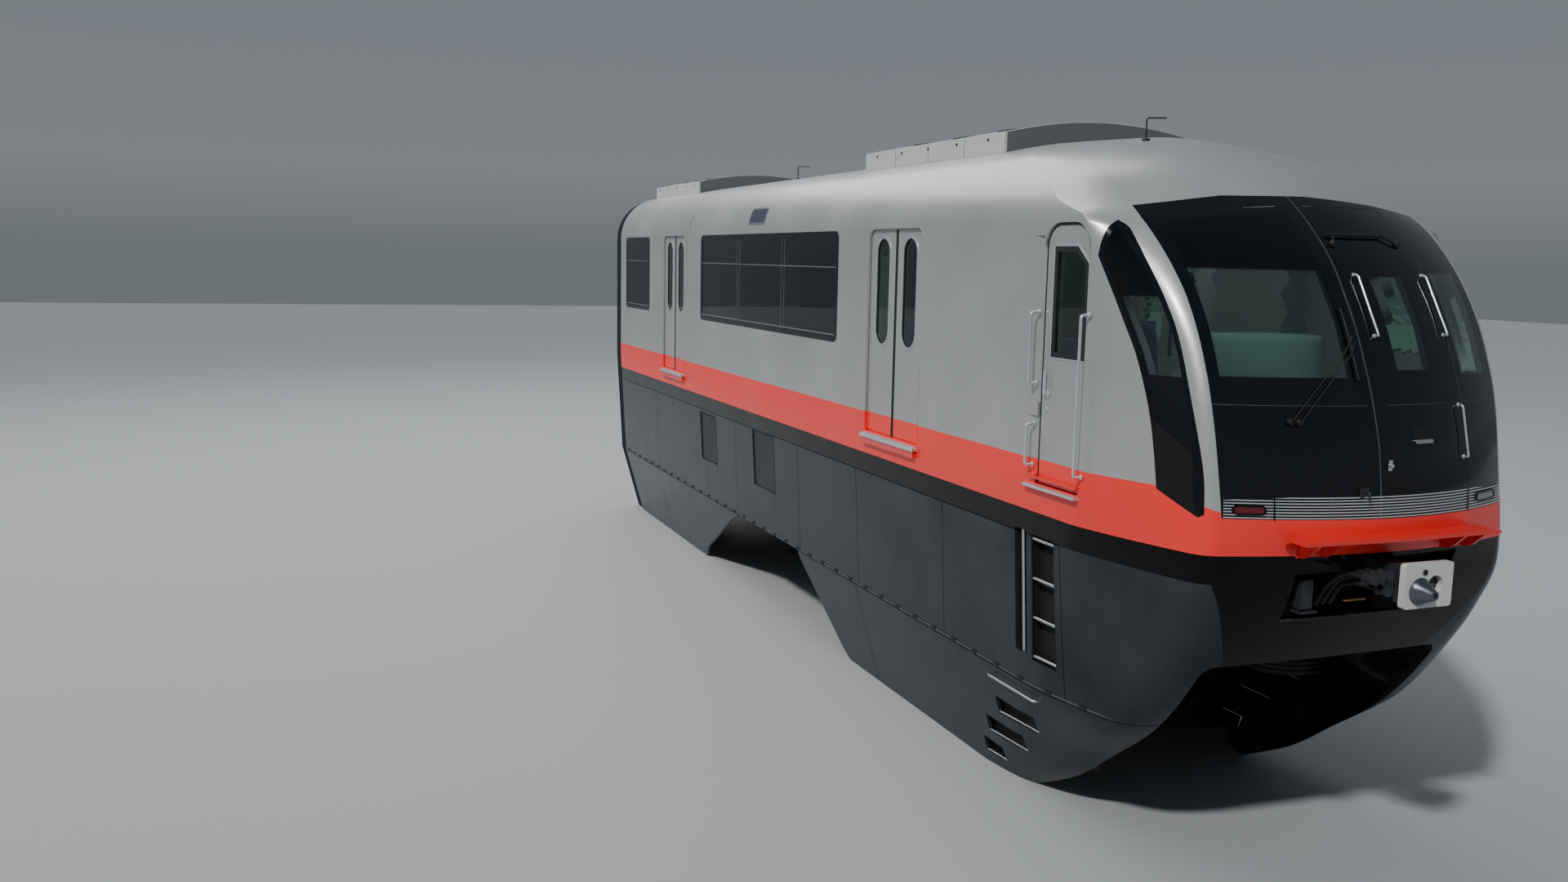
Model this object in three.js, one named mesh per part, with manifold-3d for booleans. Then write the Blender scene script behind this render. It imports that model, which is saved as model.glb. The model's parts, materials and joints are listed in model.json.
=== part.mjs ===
// A straddle-beam monorail car with a driver's cab, in millimetres.
// X points to the nose, Y to the car's left and Z up. The origin lies on the centre line of the
// beam's running surface, midway between the two bogie pivots.
import * as THREE from "three";
import { mergeVertices } from "three/addons/utils/BufferGeometryUtils.js";
import Module from "manifold-3d";

const wasm = await Module();
wasm.setup();

// Driving dimensions of the body
const REAR_X = -6450;          // outer face of the rear end wall
const PIVOT_X = 4600;          // bogie pivots lie this far ahead of and behind the origin
const HALF_WIDTH = 1490;       // side walls, outside
const FLOOR_Z = 1130;          // top of the floor
const FLOOR_T = 60;            // floor slab
const SILL_Z = 920;            // bottom edge of walls and mask, top of the skirts
const WALL_T = 100;            // a whole side wall, skin to lining
const WALL_TOP = 2960;         // where wall and roof meet
const SHOULDER_Y = 870;        // centre of the shoulder arc
const SHOULDER_Z = 2915;
const SHOULDER_R = 620;
const CROWN_R = 3980;          // flat arc across the middle of the roof
const CROWN_Z = 3650;
const MASK_X = 6405;           // joint between side wall and front mask
const END_T = 60;              // rear end wall
const CEILING_Z = 3250;        // saloon ceiling
const CAB_CEILING_Z = 3130;
const CAB_X = 5200;            // front face of the cab partition
const SEAT_GAP = 0.3;          // gap that stands for a seated joint
const RUNNING_GAP = 8;         // clearance round a moving leaf

// Driving dimensions below the floor
const LEDGE_Z = -390;          // hinge line between upper skirt and lower flap
const LEDGE_Y = 1400;
const SKIRT_BOTTOM_Z = -1370;
const SKIRT_BOTTOM_Y = 1120;
const SKIRT_T = 30;
const SKIRT_FRONT_X = 6165;    // seam between skirt and chin
const CHIN_T = 60;
const BEAM_HALF = 400;         // half the width of the beam that the car straddles
const ARCH_HALF = 980;         // half the width of the opening in the nose over the beam
const ARCH_Z = 120;

// Nose ellipse seen from the side, above the belt
const NOSE_TIP_X = 7640;
const NOSE_BELT_Z = 1500;
const NOSE_BACK_X = 4795;

function crownZ(degrees) {
  return CROWN_Z - CROWN_R * (1 - Math.cos(THREE.MathUtils.degToRad(degrees)));
}

function shoulderZ(degrees) {
  return SHOULDER_Z + SHOULDER_R * Math.sin(THREE.MathUtils.degToRad(degrees));
}

// Half width of the straight part of the car at a height
function halfWidth(z) {
  if (z > shoulderZ(75)) {
    return Math.sqrt(Math.max(0, CROWN_R ** 2 - (z - CROWN_Z + CROWN_R) ** 2));
  }
  if (z > SHOULDER_Z) {
    return SHOULDER_Y + Math.sqrt(SHOULDER_R ** 2 - (z - SHOULDER_Z) ** 2);
  }
  if (z >= FLOOR_Z) {
    return HALF_WIDTH;
  }
  if (z >= LEDGE_Z) {
    return THREE.MathUtils.mapLinear(z, LEDGE_Z, FLOOR_Z, LEDGE_Y, HALF_WIDTH);
  }
  return THREE.MathUtils.mapLinear(z, SKIRT_BOTTOM_Z, LEDGE_Z, SKIRT_BOTTOM_Y, LEDGE_Y);
}

// Furthest point of the nose on the centre line at a height above the belt
function noseEllipse(z) {
  const rise = (z - NOSE_BELT_Z) / (CROWN_Z - NOSE_BELT_Z);
  return NOSE_BACK_X + (NOSE_TIP_X - NOSE_BACK_X) * Math.sqrt(Math.max(0, 1 - rise * rise));
}

// Plan of the nose at a few heights: where the side starts to taper, the corner between side and
// front, how far the corner is rounded along both, and the furthest point on the centre line
const NOSE_PLAN = [
  // z, taperX, cornerX, cornerY, round, tipX
  [-1370, 4700, 5380, 1010, 260, 5460],
  [-1100, 5050, 5860, 1070, 280, 5940],
  [-800, 5350, 6240, 1120, 280, 6310],
  [-390, 5800, 6735, 1222, 245, 6760],
  [0, 5950, 7045, 1224, 235, 7080],
  [400, 6050, 7270, 1230, 190, 7340],
  [740, 6200, 7377, 1235, 140, 7520],
  [920, 6300, 7368, 1228, 105, 7590],
  [1150, 6350, 7345, 1214, 90, 7655],
  [1500, 6350, 7299, 1202, 70, 7617],
  [1850, 6350, 7230, 1201, 55, 7522],
  [2100, 6350, 7144, 1205, 55, 7424],
  [2300, 6350, 7050, 1219, 60, 7334],
  [2500, 6350, 6924, 1235, 68, 7222],
  [2700, 6350, 6757, 1253, 75, 7094],
  [WALL_TOP, 6330, 6465, 1275, 80, 6850],
  [shoulderZ(15), 5980, 6268, 1288, 100, 6714],
  [shoulderZ(30), 5700, 6020, 1295, 110, noseEllipse(shoulderZ(30))],
  [shoulderZ(45), 5420, 5745, 1225, 140, noseEllipse(shoulderZ(45))],
  [shoulderZ(60), 5120, 5520, 1050, 220, noseEllipse(shoulderZ(60))],
  [shoulderZ(75), 4850, 5325, 875, 250, noseEllipse(shoulderZ(75))],
  [crownZ(12.5), 4690, 5178, 725, 240, noseEllipse(crownZ(12.5))],
  [crownZ(10), 4560, 5020, 565, 210, noseEllipse(crownZ(10))],
  [crownZ(7.5), 4450, 4870, 405, 160, noseEllipse(crownZ(7.5))],
  [crownZ(5), 4385, 4740, 255, 110, noseEllipse(crownZ(5))],
  [crownZ(1.8), 4340, 4600, 90, 40, noseEllipse(crownZ(1.8))],
];
const TAPER_POWER = 1.35;      // how softly the side leaves its straight run
const TAPER_STEPS = 4;
const ROUND_STEPS = 4;
const FRONT_STEPS = 4;

function noseAt(z) {
  const last = NOSE_PLAN.length - 1;
  let above = NOSE_PLAN.findIndex((row) => row[0] >= z);
  if (above < 0) {
    above = last;
  }
  const high = NOSE_PLAN[Math.max(above, 1)];
  const low = NOSE_PLAN[Math.max(above, 1) - 1];
  const share = (z - low[0]) / (high[0] - low[0]);
  return low.map((value, column) => THREE.MathUtils.lerp(value, high[column], share));
}

// Ring of [x, y] round the car at one height, set in by a distance, anticlockwise from above
function planRing(z, setIn) {
  const [, taperX, cornerX, cornerY, round, tipX] = noseAt(z);
  const half = halfWidth(z) - setIn;
  const startX = taperX - 0.15 * setIn;
  const kneeX = cornerX - setIn;
  const kneeY = cornerY - 0.93 * setIn;
  const tip = tipX - setIn;
  const turn = Math.max(round - 0.4 * setIn, 20);
  const frontX = (y) => tip - (tip - kneeX) * (y / kneeY) ** 2;
  const taperY = (x) => half - (half - kneeY) * ((x - startX) / (kneeX - startX)) ** TAPER_POWER;
  const points = [[REAR_X, half]];
  for (let i = 0; i < TAPER_STEPS; i += 1) {
    const x = THREE.MathUtils.lerp(startX, kneeX - turn, i / TAPER_STEPS);
    points.push([x, taperY(x)]);
  }
  const first = new THREE.Vector2(kneeX - turn, taperY(kneeX - turn));
  const last = new THREE.Vector2(frontX(kneeY - turn), kneeY - turn);
  const bend = new THREE.QuadraticBezierCurve(first, new THREE.Vector2(kneeX, kneeY), last);
  for (const point of bend.getPoints(ROUND_STEPS)) {
    points.push([point.x, point.y]);
  }
  for (let i = 1; i < FRONT_STEPS; i += 1) {
    const y = (kneeY - turn) * (1 - i / FRONT_STEPS);
    points.push([frontX(y), y]);
  }
  const right = points.map(([x, y]) => [x, -y]);
  return [...right, [tip, 0], ...points.reverse()];
}

// Closed geometry from rings of [x, y] at rising heights
function loft(heights, setIn) {
  const rings = heights.map((z) => planRing(z, setIn));
  const count = rings[0].length;
  const positions = rings.flatMap((ring, k) => ring.flatMap(([x, y]) => [x, y, heights[k]]));
  const faces = [];
  const cap = THREE.ShapeUtils.triangulateShape(rings[0].map(([x, y]) => new THREE.Vector2(x, y)), []);
  const top = (heights.length - 1) * count;
  const lid = THREE.ShapeUtils.triangulateShape(rings.at(-1).map(([x, y]) => new THREE.Vector2(x, y)), []);
  cap.forEach(([a, b, c]) => faces.push(a, c, b));
  lid.forEach(([a, b, c]) => faces.push(top + a, top + b, top + c));
  for (let k = 0; k + 1 < heights.length; k += 1) {
    for (let i = 0; i < count; i += 1) {
      const a = k * count + i;
      const b = k * count + ((i + 1) % count);
      faces.push(a, b, b + count, a, b + count, a + count);
    }
  }
  const geometry = new THREE.BufferGeometry();
  geometry.setAttribute("position", new THREE.Float32BufferAttribute(positions, 3));
  geometry.setIndex(faces);
  return geometry;
}

function solid(geometry) {
  const bare = geometry.clone();
  bare.deleteAttribute("normal");
  bare.deleteAttribute("uv");
  const merged = mergeVertices(bare, 1e-3);
  const mesh = new wasm.Mesh({
    numProp: 3,
    vertProperties: new Float32Array(merged.attributes.position.array),
    triVerts: new Uint32Array(merged.index.array),
  });
  return new wasm.Manifold(mesh);
}

function join(...solids) {
  return solids.reduce((sum, next) => sum.add(next));
}

function cut(body, ...tools) {
  return tools.reduce((rest, tool) => rest.subtract(tool), body);
}

function geometryOf(body) {
  const { vertProperties, triVerts } = body.getMesh();
  const geometry = new THREE.BufferGeometry();
  geometry.setAttribute("position", new THREE.BufferAttribute(new Float32Array(vertProperties), 3));
  geometry.setIndex(new THREE.BufferAttribute(new Uint32Array(triVerts), 1));
  return geometry;
}

// The same solid on the other side of the car
function mirrored(body) {
  const geometry = geometryOf(body);
  geometry.scale(1, -1, 1);
  const index = geometry.index.array;
  for (let i = 0; i < index.length; i += 3) {
    [index[i], index[i + 1]] = [index[i + 1], index[i]];
  }
  return solid(geometry);
}

function box(x0, x1, y0, y1, z0, z1) {
  const geometry = new THREE.BoxGeometry(x1 - x0, y1 - y0, z1 - z0);
  geometry.translate((x0 + x1) / 2, (y0 + y1) / 2, (z0 + z1) / 2);
  return solid(geometry);
}

// Prisms whose outline is given in the two other axes
function extruded(points, from, to, basis) {
  const shape = new THREE.Shape(points.map(([a, b]) => new THREE.Vector2(a, b)));
  const geometry = new THREE.ExtrudeGeometry(shape, { depth: to - from, bevelEnabled: false, steps: 1 });
  geometry.translate(0, 0, from);
  geometry.applyMatrix4(new THREE.Matrix4().makeBasis(...basis));
  return solid(geometry);
}

const ALONG_X = new THREE.Vector3(1, 0, 0);
const ALONG_Y = new THREE.Vector3(0, 1, 0);
const ALONG_Z = new THREE.Vector3(0, 0, 1);

function prismX(yz, x0, x1) {
  return extruded(yz, x0, x1, [ALONG_Y, ALONG_Z, ALONG_X]);
}

function prismY(xz, y0, y1) {
  return extruded(xz.map(([x, z]) => [z, x]), y0, y1, [ALONG_Z, ALONG_X, ALONG_Y]);
}

function cylinder(radius, from, to, x, y, steps) {
  const geometry = new THREE.CylinderGeometry(radius, radius, to - from, steps);
  geometry.rotateX(Math.PI / 2);
  geometry.translate(x, y, (from + to) / 2);
  return solid(geometry);
}

// Outline moved inwards along its edges' normals
function inset(points, distance) {
  const area = THREE.ShapeUtils.area(points.map(([a, b]) => ({ x: a, y: b })));
  const side = Math.sign(area);
  return points.map((point, i) => {
    const before = points.at(i - 1);
    const after = points[(i + 1) % points.length];
    const first = new THREE.Vector2(point[0] - before[0], point[1] - before[1]).normalize();
    const second = new THREE.Vector2(after[0] - point[0], after[1] - point[1]).normalize();
    const normalA = new THREE.Vector2(-first.y, first.x).multiplyScalar(side);
    const normalB = new THREE.Vector2(-second.y, second.x).multiplyScalar(side);
    const mean = normalA.clone().add(normalB);
    const reach = (2 * distance) / mean.lengthSq();
    return [point[0] + mean.x * reach, point[1] + mean.y * reach];
  });
}

// Rectangle with round corners; the two bottom corners can stay square
function roundedRect(a0, a1, b0, b1, radius, steps = 3, squareFoot = false) {
  const corners = [
    [a1 - radius, b1 - radius, 0],
    [a0 + radius, b1 - radius, 90],
    [a0 + radius, b0 + radius, 180],
    [a1 - radius, b0 + radius, 270],
  ];
  return corners.flatMap(([a, b, start], k) => {
    if (squareFoot && k > 1) {
      return [k === 2 ? [a0, b0] : [a1, b0]];
    }
    return Array.from({ length: steps + 1 }, (_, i) => {
      const angle = THREE.MathUtils.degToRad(start + (90 * i) / steps);
      return [a + radius * Math.cos(angle), b + radius * Math.sin(angle)];
    });
  });
}

const BODY_HEIGHTS = NOSE_PLAN.map((row) => row[0]).filter((z) => z >= SILL_Z);
const LOWER_HEIGHTS = NOSE_PLAN.map((row) => row[0]).filter((z) => z <= SILL_Z);
const FAR = 9000;

// Skin of the whole body above the sill, hollowed by the saloon and the cab
const outerBody = solid(loft(BODY_HEIGHTS, 0));
const cabHeights = [740, 920, 1150, 1850, 2300, 2700, WALL_TOP, CAB_CEILING_Z];
const insideNose = solid(loft(cabHeights, WALL_T));
const INNER_HALF = HALF_WIDTH - WALL_T;
const saloonSection = [
  [-INNER_HALF, 800], [INNER_HALF, 800], [INNER_HALF, WALL_TOP], [1250, 3130], [1000, 3230],
  [850, CEILING_Z], [-850, CEILING_Z], [-1000, 3230], [-1250, 3130], [-INNER_HALF, WALL_TOP],
];
const saloon = prismX(saloonSection, REAR_X - 10, CAB_X);
const cab = insideNose.intersect(box(CAB_X - 1, FAR, -FAR, FAR, 0, FAR));
const STRAIGHT_FLOOR_X = 6100; // the floor is straight-sided up to here, and follows the nose ahead of it
const cabFloorSpace = box(CAB_X - 1, STRAIGHT_FLOOR_X, -INNER_HALF, INNER_HALF, 740, FLOOR_Z);
const shell = cut(outerBody, saloon, cab, cabFloorSpace);
const shellFrontOfEnd = shell.intersect(box(REAR_X + END_T + SEAT_GAP, FAR, -FAR, FAR, 0, FAR));

// Doors and windows in the side wall, as [x, z] outlines
const DOOR_CENTRES = [-3445, 3445];
const DOOR_HALF = 535;
const DOOR_TOP = 2930;
const LEAF_OUT = 1465;         // outer face of a sliding leaf
const LEAF_T = 35;
const LEAF_TOP = DOOR_TOP - 6;
const LEAF_HIDDEN = 20;        // each closed leaf reaches this far into its pocket
const LEAF_MEET = 3;           // half the gap between two closed leaves
const LEAF_WINDOW = { offset: 265, half: 130, low: 1925, high: 2850 };
const POCKET_END = 1065;       // pocket's far end from the door's centre
const POCKET_GAP = 7;
const CAB_DOOR = { rear: 5850, front: 6385, top: 2935, outer: 1472, inner: 1422 };
const CAB_HINGE_X = CAB_DOOR.front - RUNNING_GAP;
const CAB_BARRELS = [[1300, 1420], [1950, 2070], [2600, 2720]];
const SIDE_WINDOWS = [
  // name, rear, front
  ["rear", -6090, -4730],
  ["mid", -2200, 2200],
];
const WINDOW_BOTTOM = 1890;
const WINDOW_TOP = 2910;
const GLASS_T = 25;

const doorway = (centre) =>
  roundedRect(centre - DOOR_HALF, centre + DOOR_HALF, FLOOR_Z, DOOR_TOP, 90, 3, true);
const windowOutline = (rear, front) => roundedRect(rear, front, WINDOW_BOTTOM, WINDOW_TOP, 60, 2);
const cabDoorway = roundedRect(CAB_DOOR.rear, CAB_DOOR.front, FLOOR_Z, CAB_DOOR.top, 170, 4, true);
const CAB_DOOR_WINDOW = [
  [5985, 2050], [6345, 2050], [6345, 2650], [6225, 2750], [5985, 2750],
];
// Hand space behind the two short grab rails: a wedge that deepens towards the cab door
const HAND_SPACES = [[1195, 1605], [1700, 2850]];
const HAND_SPACE = { rear: 5715, depth: 26 };

// Grab rails and steps, welded on
const RAIL_R = 14;
const RAIL_Y = 1552;
const RAIL_FOOT_IN = 1455;     // feet end inside the wall, below the hand space
const SHORT_RAILS = [[1235, 1565], [1810, 2345]];
const SHORT_RAIL_X = 5810;
const LONG_RAIL_X = 6424;
const LONG_RAIL = [1240, 2350];
const STEP_OUT = 1530;
const STEP_IN = 1478;
const DOOR_STEP = { half: 545, low: 1078, high: 1104 };
const CAB_STEP = { rear: 5750, front: 6400, low: 1100, high: 1120 };

function grabRail(x, low, high) {
  const foot = (z) => box(x - 11, x + 11, -RAIL_Y, -RAIL_FOOT_IN, z, z + 22);
  return join(cylinder(RAIL_R, low, high, x, -RAIL_Y, 10), foot(low + 4), foot(high - 26));
}

function handSpace([low, high]) {
  const plan = [
    [HAND_SPACE.rear, -HALF_WIDTH], [CAB_DOOR.rear + 1, -HALF_WIDTH + HAND_SPACE.depth],
    [CAB_DOOR.rear + 1, -FAR], [HAND_SPACE.rear, -FAR],
  ];
  return extruded(plan, low, high, [ALONG_X, ALONG_Y, ALONG_Z]);
}

function sideWall() {
  const wallZone = box(-FAR, MASK_X, -FAR, 0, SILL_Z, WALL_TOP);
  const openings = [
    ...DOOR_CENTRES.map((centre) => prismY(doorway(centre), -FAR, 0)),
    ...SIDE_WINDOWS.map(([, rear, front]) => prismY(windowOutline(rear, front), -FAR, 0)),
    prismY(cabDoorway, -FAR, 0),
    // Behind the leaf the cab doorway is square, so that the leaf's round corners can swing in
    box(CAB_DOOR.rear, CAB_DOOR.front, -CAB_DOOR.inner, -INNER_HALF + 90, FLOOR_Z, CAB_DOOR.top),
    ...DOOR_CENTRES.map((centre) => {
      const outer = LEAF_OUT + POCKET_GAP;
      const inner = LEAF_OUT - LEAF_T - POCKET_GAP;
      return box(centre - POCKET_END, centre + POCKET_END, -outer, -inner, FLOOR_Z, DOOR_TOP + 2);
    }),
    ...HAND_SPACES.map(handSpace),
  ];
  const step = (rear, front, { low, high }) => box(rear, front, -STEP_OUT, -STEP_IN, low, high);
  return join(
    cut(shellFrontOfEnd.intersect(wallZone), ...openings),
    ...DOOR_CENTRES.map((x) => step(x - DOOR_STEP.half, x + DOOR_STEP.half, DOOR_STEP)),
    step(CAB_STEP.rear, CAB_STEP.front, CAB_STEP),
    ...SHORT_RAILS.map(([low, high]) => grabRail(SHORT_RAIL_X, low, high)),
  );
}

function doorLeaf(direction) {
  // The leaf that slides towards `direction` along X, drawn for a door centred on zero
  const near = LEAF_MEET;
  const far = DOOR_HALF + LEAF_HIDDEN;
  const [x0, x1] = direction > 0 ? [near, far] : [-far, -near];
  const slab = box(x0, x1, -LEAF_OUT, -LEAF_OUT + LEAF_T, FLOOR_Z + RUNNING_GAP, LEAF_TOP);
  const { offset, half, low, high } = LEAF_WINDOW;
  const middle = direction * offset;
  const slot = prismY(roundedRect(middle - half, middle + half, low, high, half - 1, 5), -FAR, 0);
  const tongueY = LEAF_OUT - LEAF_T / 2;
  const tongue = box(x0 + 30, x1 - 30, -tongueY - 5, -tongueY + 5, FLOOR_Z + SEAT_GAP, FLOOR_Z + 20);
  return join(slab.subtract(slot), tongue);
}

function cabDoor() {
  // The leaf opens inwards about barrels on its inner face, at its front edge
  const outline = roundedRect(CAB_DOOR.rear + RUNNING_GAP, CAB_HINGE_X, FLOOR_Z + RUNNING_GAP,
    CAB_DOOR.top - RUNNING_GAP, 165, 4, true);
  const leaf = cut(prismY(outline, -CAB_DOOR.outer, -CAB_DOOR.inner), prismY(CAB_DOOR_WINDOW, -FAR, 0));
  const barrels = CAB_BARRELS.map(([low, high]) =>
    cylinder(RUNNING_GAP - SEAT_GAP, low, high, CAB_HINGE_X, -CAB_DOOR.inner, 12));
  return join(leaf, ...barrels);
}

// A pane as thick as the glass, flush with the skin, in an opening cut by a prism
const underGlass = solid(loft([SILL_Z, ...BODY_HEIGHTS.slice(1)], GLASS_T));
const glassLayer = cut(outerBody, underGlass);

function sidePane(rear, front) {
  const outline = inset(windowOutline(rear, front), SEAT_GAP);
  return box(rear, front, -HALF_WIDTH, -HALF_WIDTH + GLASS_T, WINDOW_BOTTOM, WINDOW_TOP)
    .intersect(prismY(outline, -FAR, 0));
}

// Openings of the front mask, as [y, z] seen from ahead and [x, z] seen from the side
const WINDSCREEN_RIGHT = [
  [-1115, 1835], [-215, 1835], [-215, 3066], [-674, 3030], [-1140, 2955], [-1133, 2700], [-1120, 2300],
];
const WINDSCREEN_LEFT = [
  [690, 1835], [1115, 1835], [1120, 2300], [1133, 2700], [1140, 2955], [690, 3028],
];
const ESCAPE_DOOR = roundedRect(-145, 650, 1165, 3070, 60, 2);
const ESCAPE_WINDOW = [[70, 2005], [450, 2005], [450, 2645], [70, 2645]];
const QUARTER = [
  [6450, 2950], [6440, 2715], [6651, 2338], [6798, 2054], [6922, 1705], [7009, 1278], [7300, 1145],
  [7328, 1165], [7294, 1414], [7208, 1737], [7046, 2190], [6925, 2419], [6769, 2634], [6556, 2873],
];

function frontMask() {
  const zone = shell.intersect(box(MASK_X, FAR, -FAR, FAR, SILL_Z, FAR));
  const ahead = (outline) => prismX(outline, MASK_X - 10, FAR);
  const across = prismY(QUARTER, -FAR, FAR);
  const openMask = cut(zone, ahead(WINDSCREEN_RIGHT), ahead(WINDSCREEN_LEFT), ahead(ESCAPE_DOOR), across);
  const rail = grabRail(LONG_RAIL_X, ...LONG_RAIL);
  return join(openMask, rail, mirrored(rail));
}

function nosePane(outline) {
  return glassLayer.intersect(prismX(inset(outline, SEAT_GAP), MASK_X + 1, FAR));
}

function quarterPane() {
  return glassLayer.intersect(prismY(inset(QUARTER, SEAT_GAP), -FAR, 0));
}

function escapeDoor() {
  const slab = shell.intersect(prismX(inset(ESCAPE_DOOR, SEAT_GAP), MASK_X + 1, FAR));
  return slab.subtract(prismX(ESCAPE_WINDOW, MASK_X, FAR));
}

const GANGWAY_HALF = 480;
const GANGWAY_TOP = 3050;

function rearEndWall() {
  const wall = outerBody.intersect(box(REAR_X, REAR_X + END_T, -FAR, FAR, SILL_Z, FAR));
  const way = roundedRect(-GANGWAY_HALF, GANGWAY_HALF, FLOOR_Z, GANGWAY_TOP, 120, 3, true);
  const bridgeHalf = GANGWAY_HALF - 40;
  const bridgeRear = REAR_X - BELLOWS_LENGTH + 10;
  const bridge = box(bridgeRear, REAR_X + 1, -bridgeHalf, bridgeHalf, FLOOR_Z - 50, FLOOR_Z);
  return join(wall.subtract(prismX(way, REAR_X - 10, REAR_X + END_T + 10)), bridge);
}

// Pleated diaphragm that closes the gap to the next car, from the skirts up over the roof
const BELLOWS_LENGTH = 350;
const BELLOWS_IN = 20;         // stands this far inside the body's outline
const BELLOWS_T = 110;

function bellowsSection(setIn) {
  const right = [[SKIRT_BOTTOM_Y - setIn, SKIRT_BOTTOM_Z], [LEDGE_Y - setIn, LEDGE_Z],
    [HALF_WIDTH - setIn, FLOOR_Z], [HALF_WIDTH - setIn, SHOULDER_Z]];
  for (const degrees of [15, 30, 45, 60, 75]) {
    const angle = THREE.MathUtils.degToRad(degrees);
    const reach = SHOULDER_R - setIn;
    right.push([SHOULDER_Y + reach * Math.cos(angle), SHOULDER_Z + reach * Math.sin(angle)]);
  }
  for (const degrees of [10, 5]) {
    const angle = THREE.MathUtils.degToRad(degrees);
    const reach = CROWN_R - setIn;
    right.push([reach * Math.sin(angle), CROWN_Z - CROWN_R + reach * Math.cos(angle)]);
  }
  const left = right.map(([y, z]) => [-y, z]).reverse();
  return [...right, [0, CROWN_Z - setIn], ...left];
}

function gangwayBellows() {
  const outer = bellowsSection(BELLOWS_IN);
  const inner = bellowsSection(BELLOWS_IN + BELLOWS_T);
  const x0 = REAR_X - BELLOWS_LENGTH;
  const x1 = REAR_X - SEAT_GAP;
  return cut(prismX(outer, x0, x1), prismX(inner, x0 - 10, x1 + 10));
}

// Air conditioning box that follows the crown of the roof
const AC_BOXES = [
  // name, rear, front
  ["front", 1580, 4300],
  ["rear", -6350, -4110],
];
const AC_HALF = 950;
const AC_EDGE_Z = 3700;
const AC_TOP_Z = 3820;

function acUnit(rear, front) {
  const footAt = (y) => CROWN_Z - CROWN_R + Math.sqrt((CROWN_R + SEAT_GAP) ** 2 - y * y);
  const crownSteps = [1.8, 5, 7.5, 10, 12.5].map((a) => CROWN_R * Math.sin(THREE.MathUtils.degToRad(a)));
  const footYs = [...crownSteps.map((y) => -y).reverse(), ...crownSteps];
  const foot = [[-AC_HALF, footAt(AC_HALF) + 1], ...footYs.map((y) => [y, footAt(y)]),
    [AC_HALF, footAt(AC_HALF) + 1]];
  const lid = [1, 0.6, 0.2, -0.2, -0.6, -1].map((share) =>
    [AC_HALF * share, AC_TOP_Z - (AC_TOP_Z - AC_EDGE_Z) * share * share]);
  return prismX([...foot, ...lid], rear, front);
}

// Cab fittings and saloon seats
const PARTITION_T = 50;
const PARTITION_PANES = [[-1150, -450], [-300, 300], [450, 1150]];
const PARTITION_PANE_Z = [1950, 2850];

function cabPartition() {
  const outline = inset(saloonSection.map(([y, z]) => [y, Math.max(z, FLOOR_Z)]), SEAT_GAP);
  const panel = prismX(outline, CAB_X - PARTITION_T, CAB_X - SEAT_GAP);
  const openings = PARTITION_PANES.map(([right, left]) =>
    prismX(roundedRect(right, left, ...PARTITION_PANE_Z, 60, 2), CAB_X - 2 * PARTITION_T, FAR));
  return cut(panel, ...openings);
}

const LINING_GAP = 3;          // between the mask's inner face and what is fitted behind it
const DESK = { rear: 6560, right: -1120, left: -150, top: 1870, slopeRun: 260, slopeDrop: 80 };

function cabDesk() {
  const side = [[DESK.rear, FLOOR_Z + SEAT_GAP], [FAR, FLOOR_Z + SEAT_GAP], [FAR, DESK.top],
    [DESK.rear + DESK.slopeRun, DESK.top], [DESK.rear, DESK.top - DESK.slopeDrop]];
  const behindMask = solid(loft([SILL_Z, 1150, 1850, 2300], WALL_T + LINING_GAP));
  return prismY(side, DESK.right, DESK.left).intersect(behindMask);
}

const DRIVER_SEAT = { x: 5720, y: -500, half: 230, pillarR: 90, pillarTop: 1500 };
// Side outline of the driver's seat, as [ahead of its pillar, z]: cushion first, then the back
const DRIVER_SEAT_SIDE = [[-240, 1480], [240, 1470], [255, 1580], [-120, 1570], [-220, 2250], [-320, 2240],
  [-240, 1560]];

function driverSeat() {
  const { x, y, half, pillarR, pillarTop } = DRIVER_SEAT;
  const seat = prismY(DRIVER_SEAT_SIDE.map(([ahead, z]) => [x + ahead, z]).reverse(), y - half, y + half);
  return join(seat, cylinder(pillarR, FLOOR_Z + SEAT_GAP, pillarTop, x, y, 16));
}

// Bench section, as [out from the wall, z]: plinth, cushion, back
const BENCH_SECTION = [[0, FLOOR_Z + SEAT_GAP], [240, FLOOR_Z + SEAT_GAP], [240, 1430], [450, 1440],
  [450, 1550], [110, 1530], [60, 1860], [0, 1860]];
const BENCH_HALF = 2250;

function bench() {
  const wall = INNER_HALF - SEAT_GAP;
  return prismX(BENCH_SECTION.map(([out, z]) => [out - wall, z]), -BENCH_HALF, BENCH_HALF);
}

// Underframe: floor slab that fills the body, sole bars, pivot posts and the two draft blocks
const SLAB_BOTTOM = FLOOR_Z - FLOOR_T;
const PIVOT_R = 110;
const PIVOT_BOTTOM = 420;
const PIVOT_STEPS = 32;
const SOLE_Y = [1290, 1375];
const SOLE_BOTTOM = 1016;      // clears the top of the running tyres
const DRAFT = { half: 260, low: 660, rear: -6240, frontRear: 6750, frontFront: 7050 };

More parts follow.
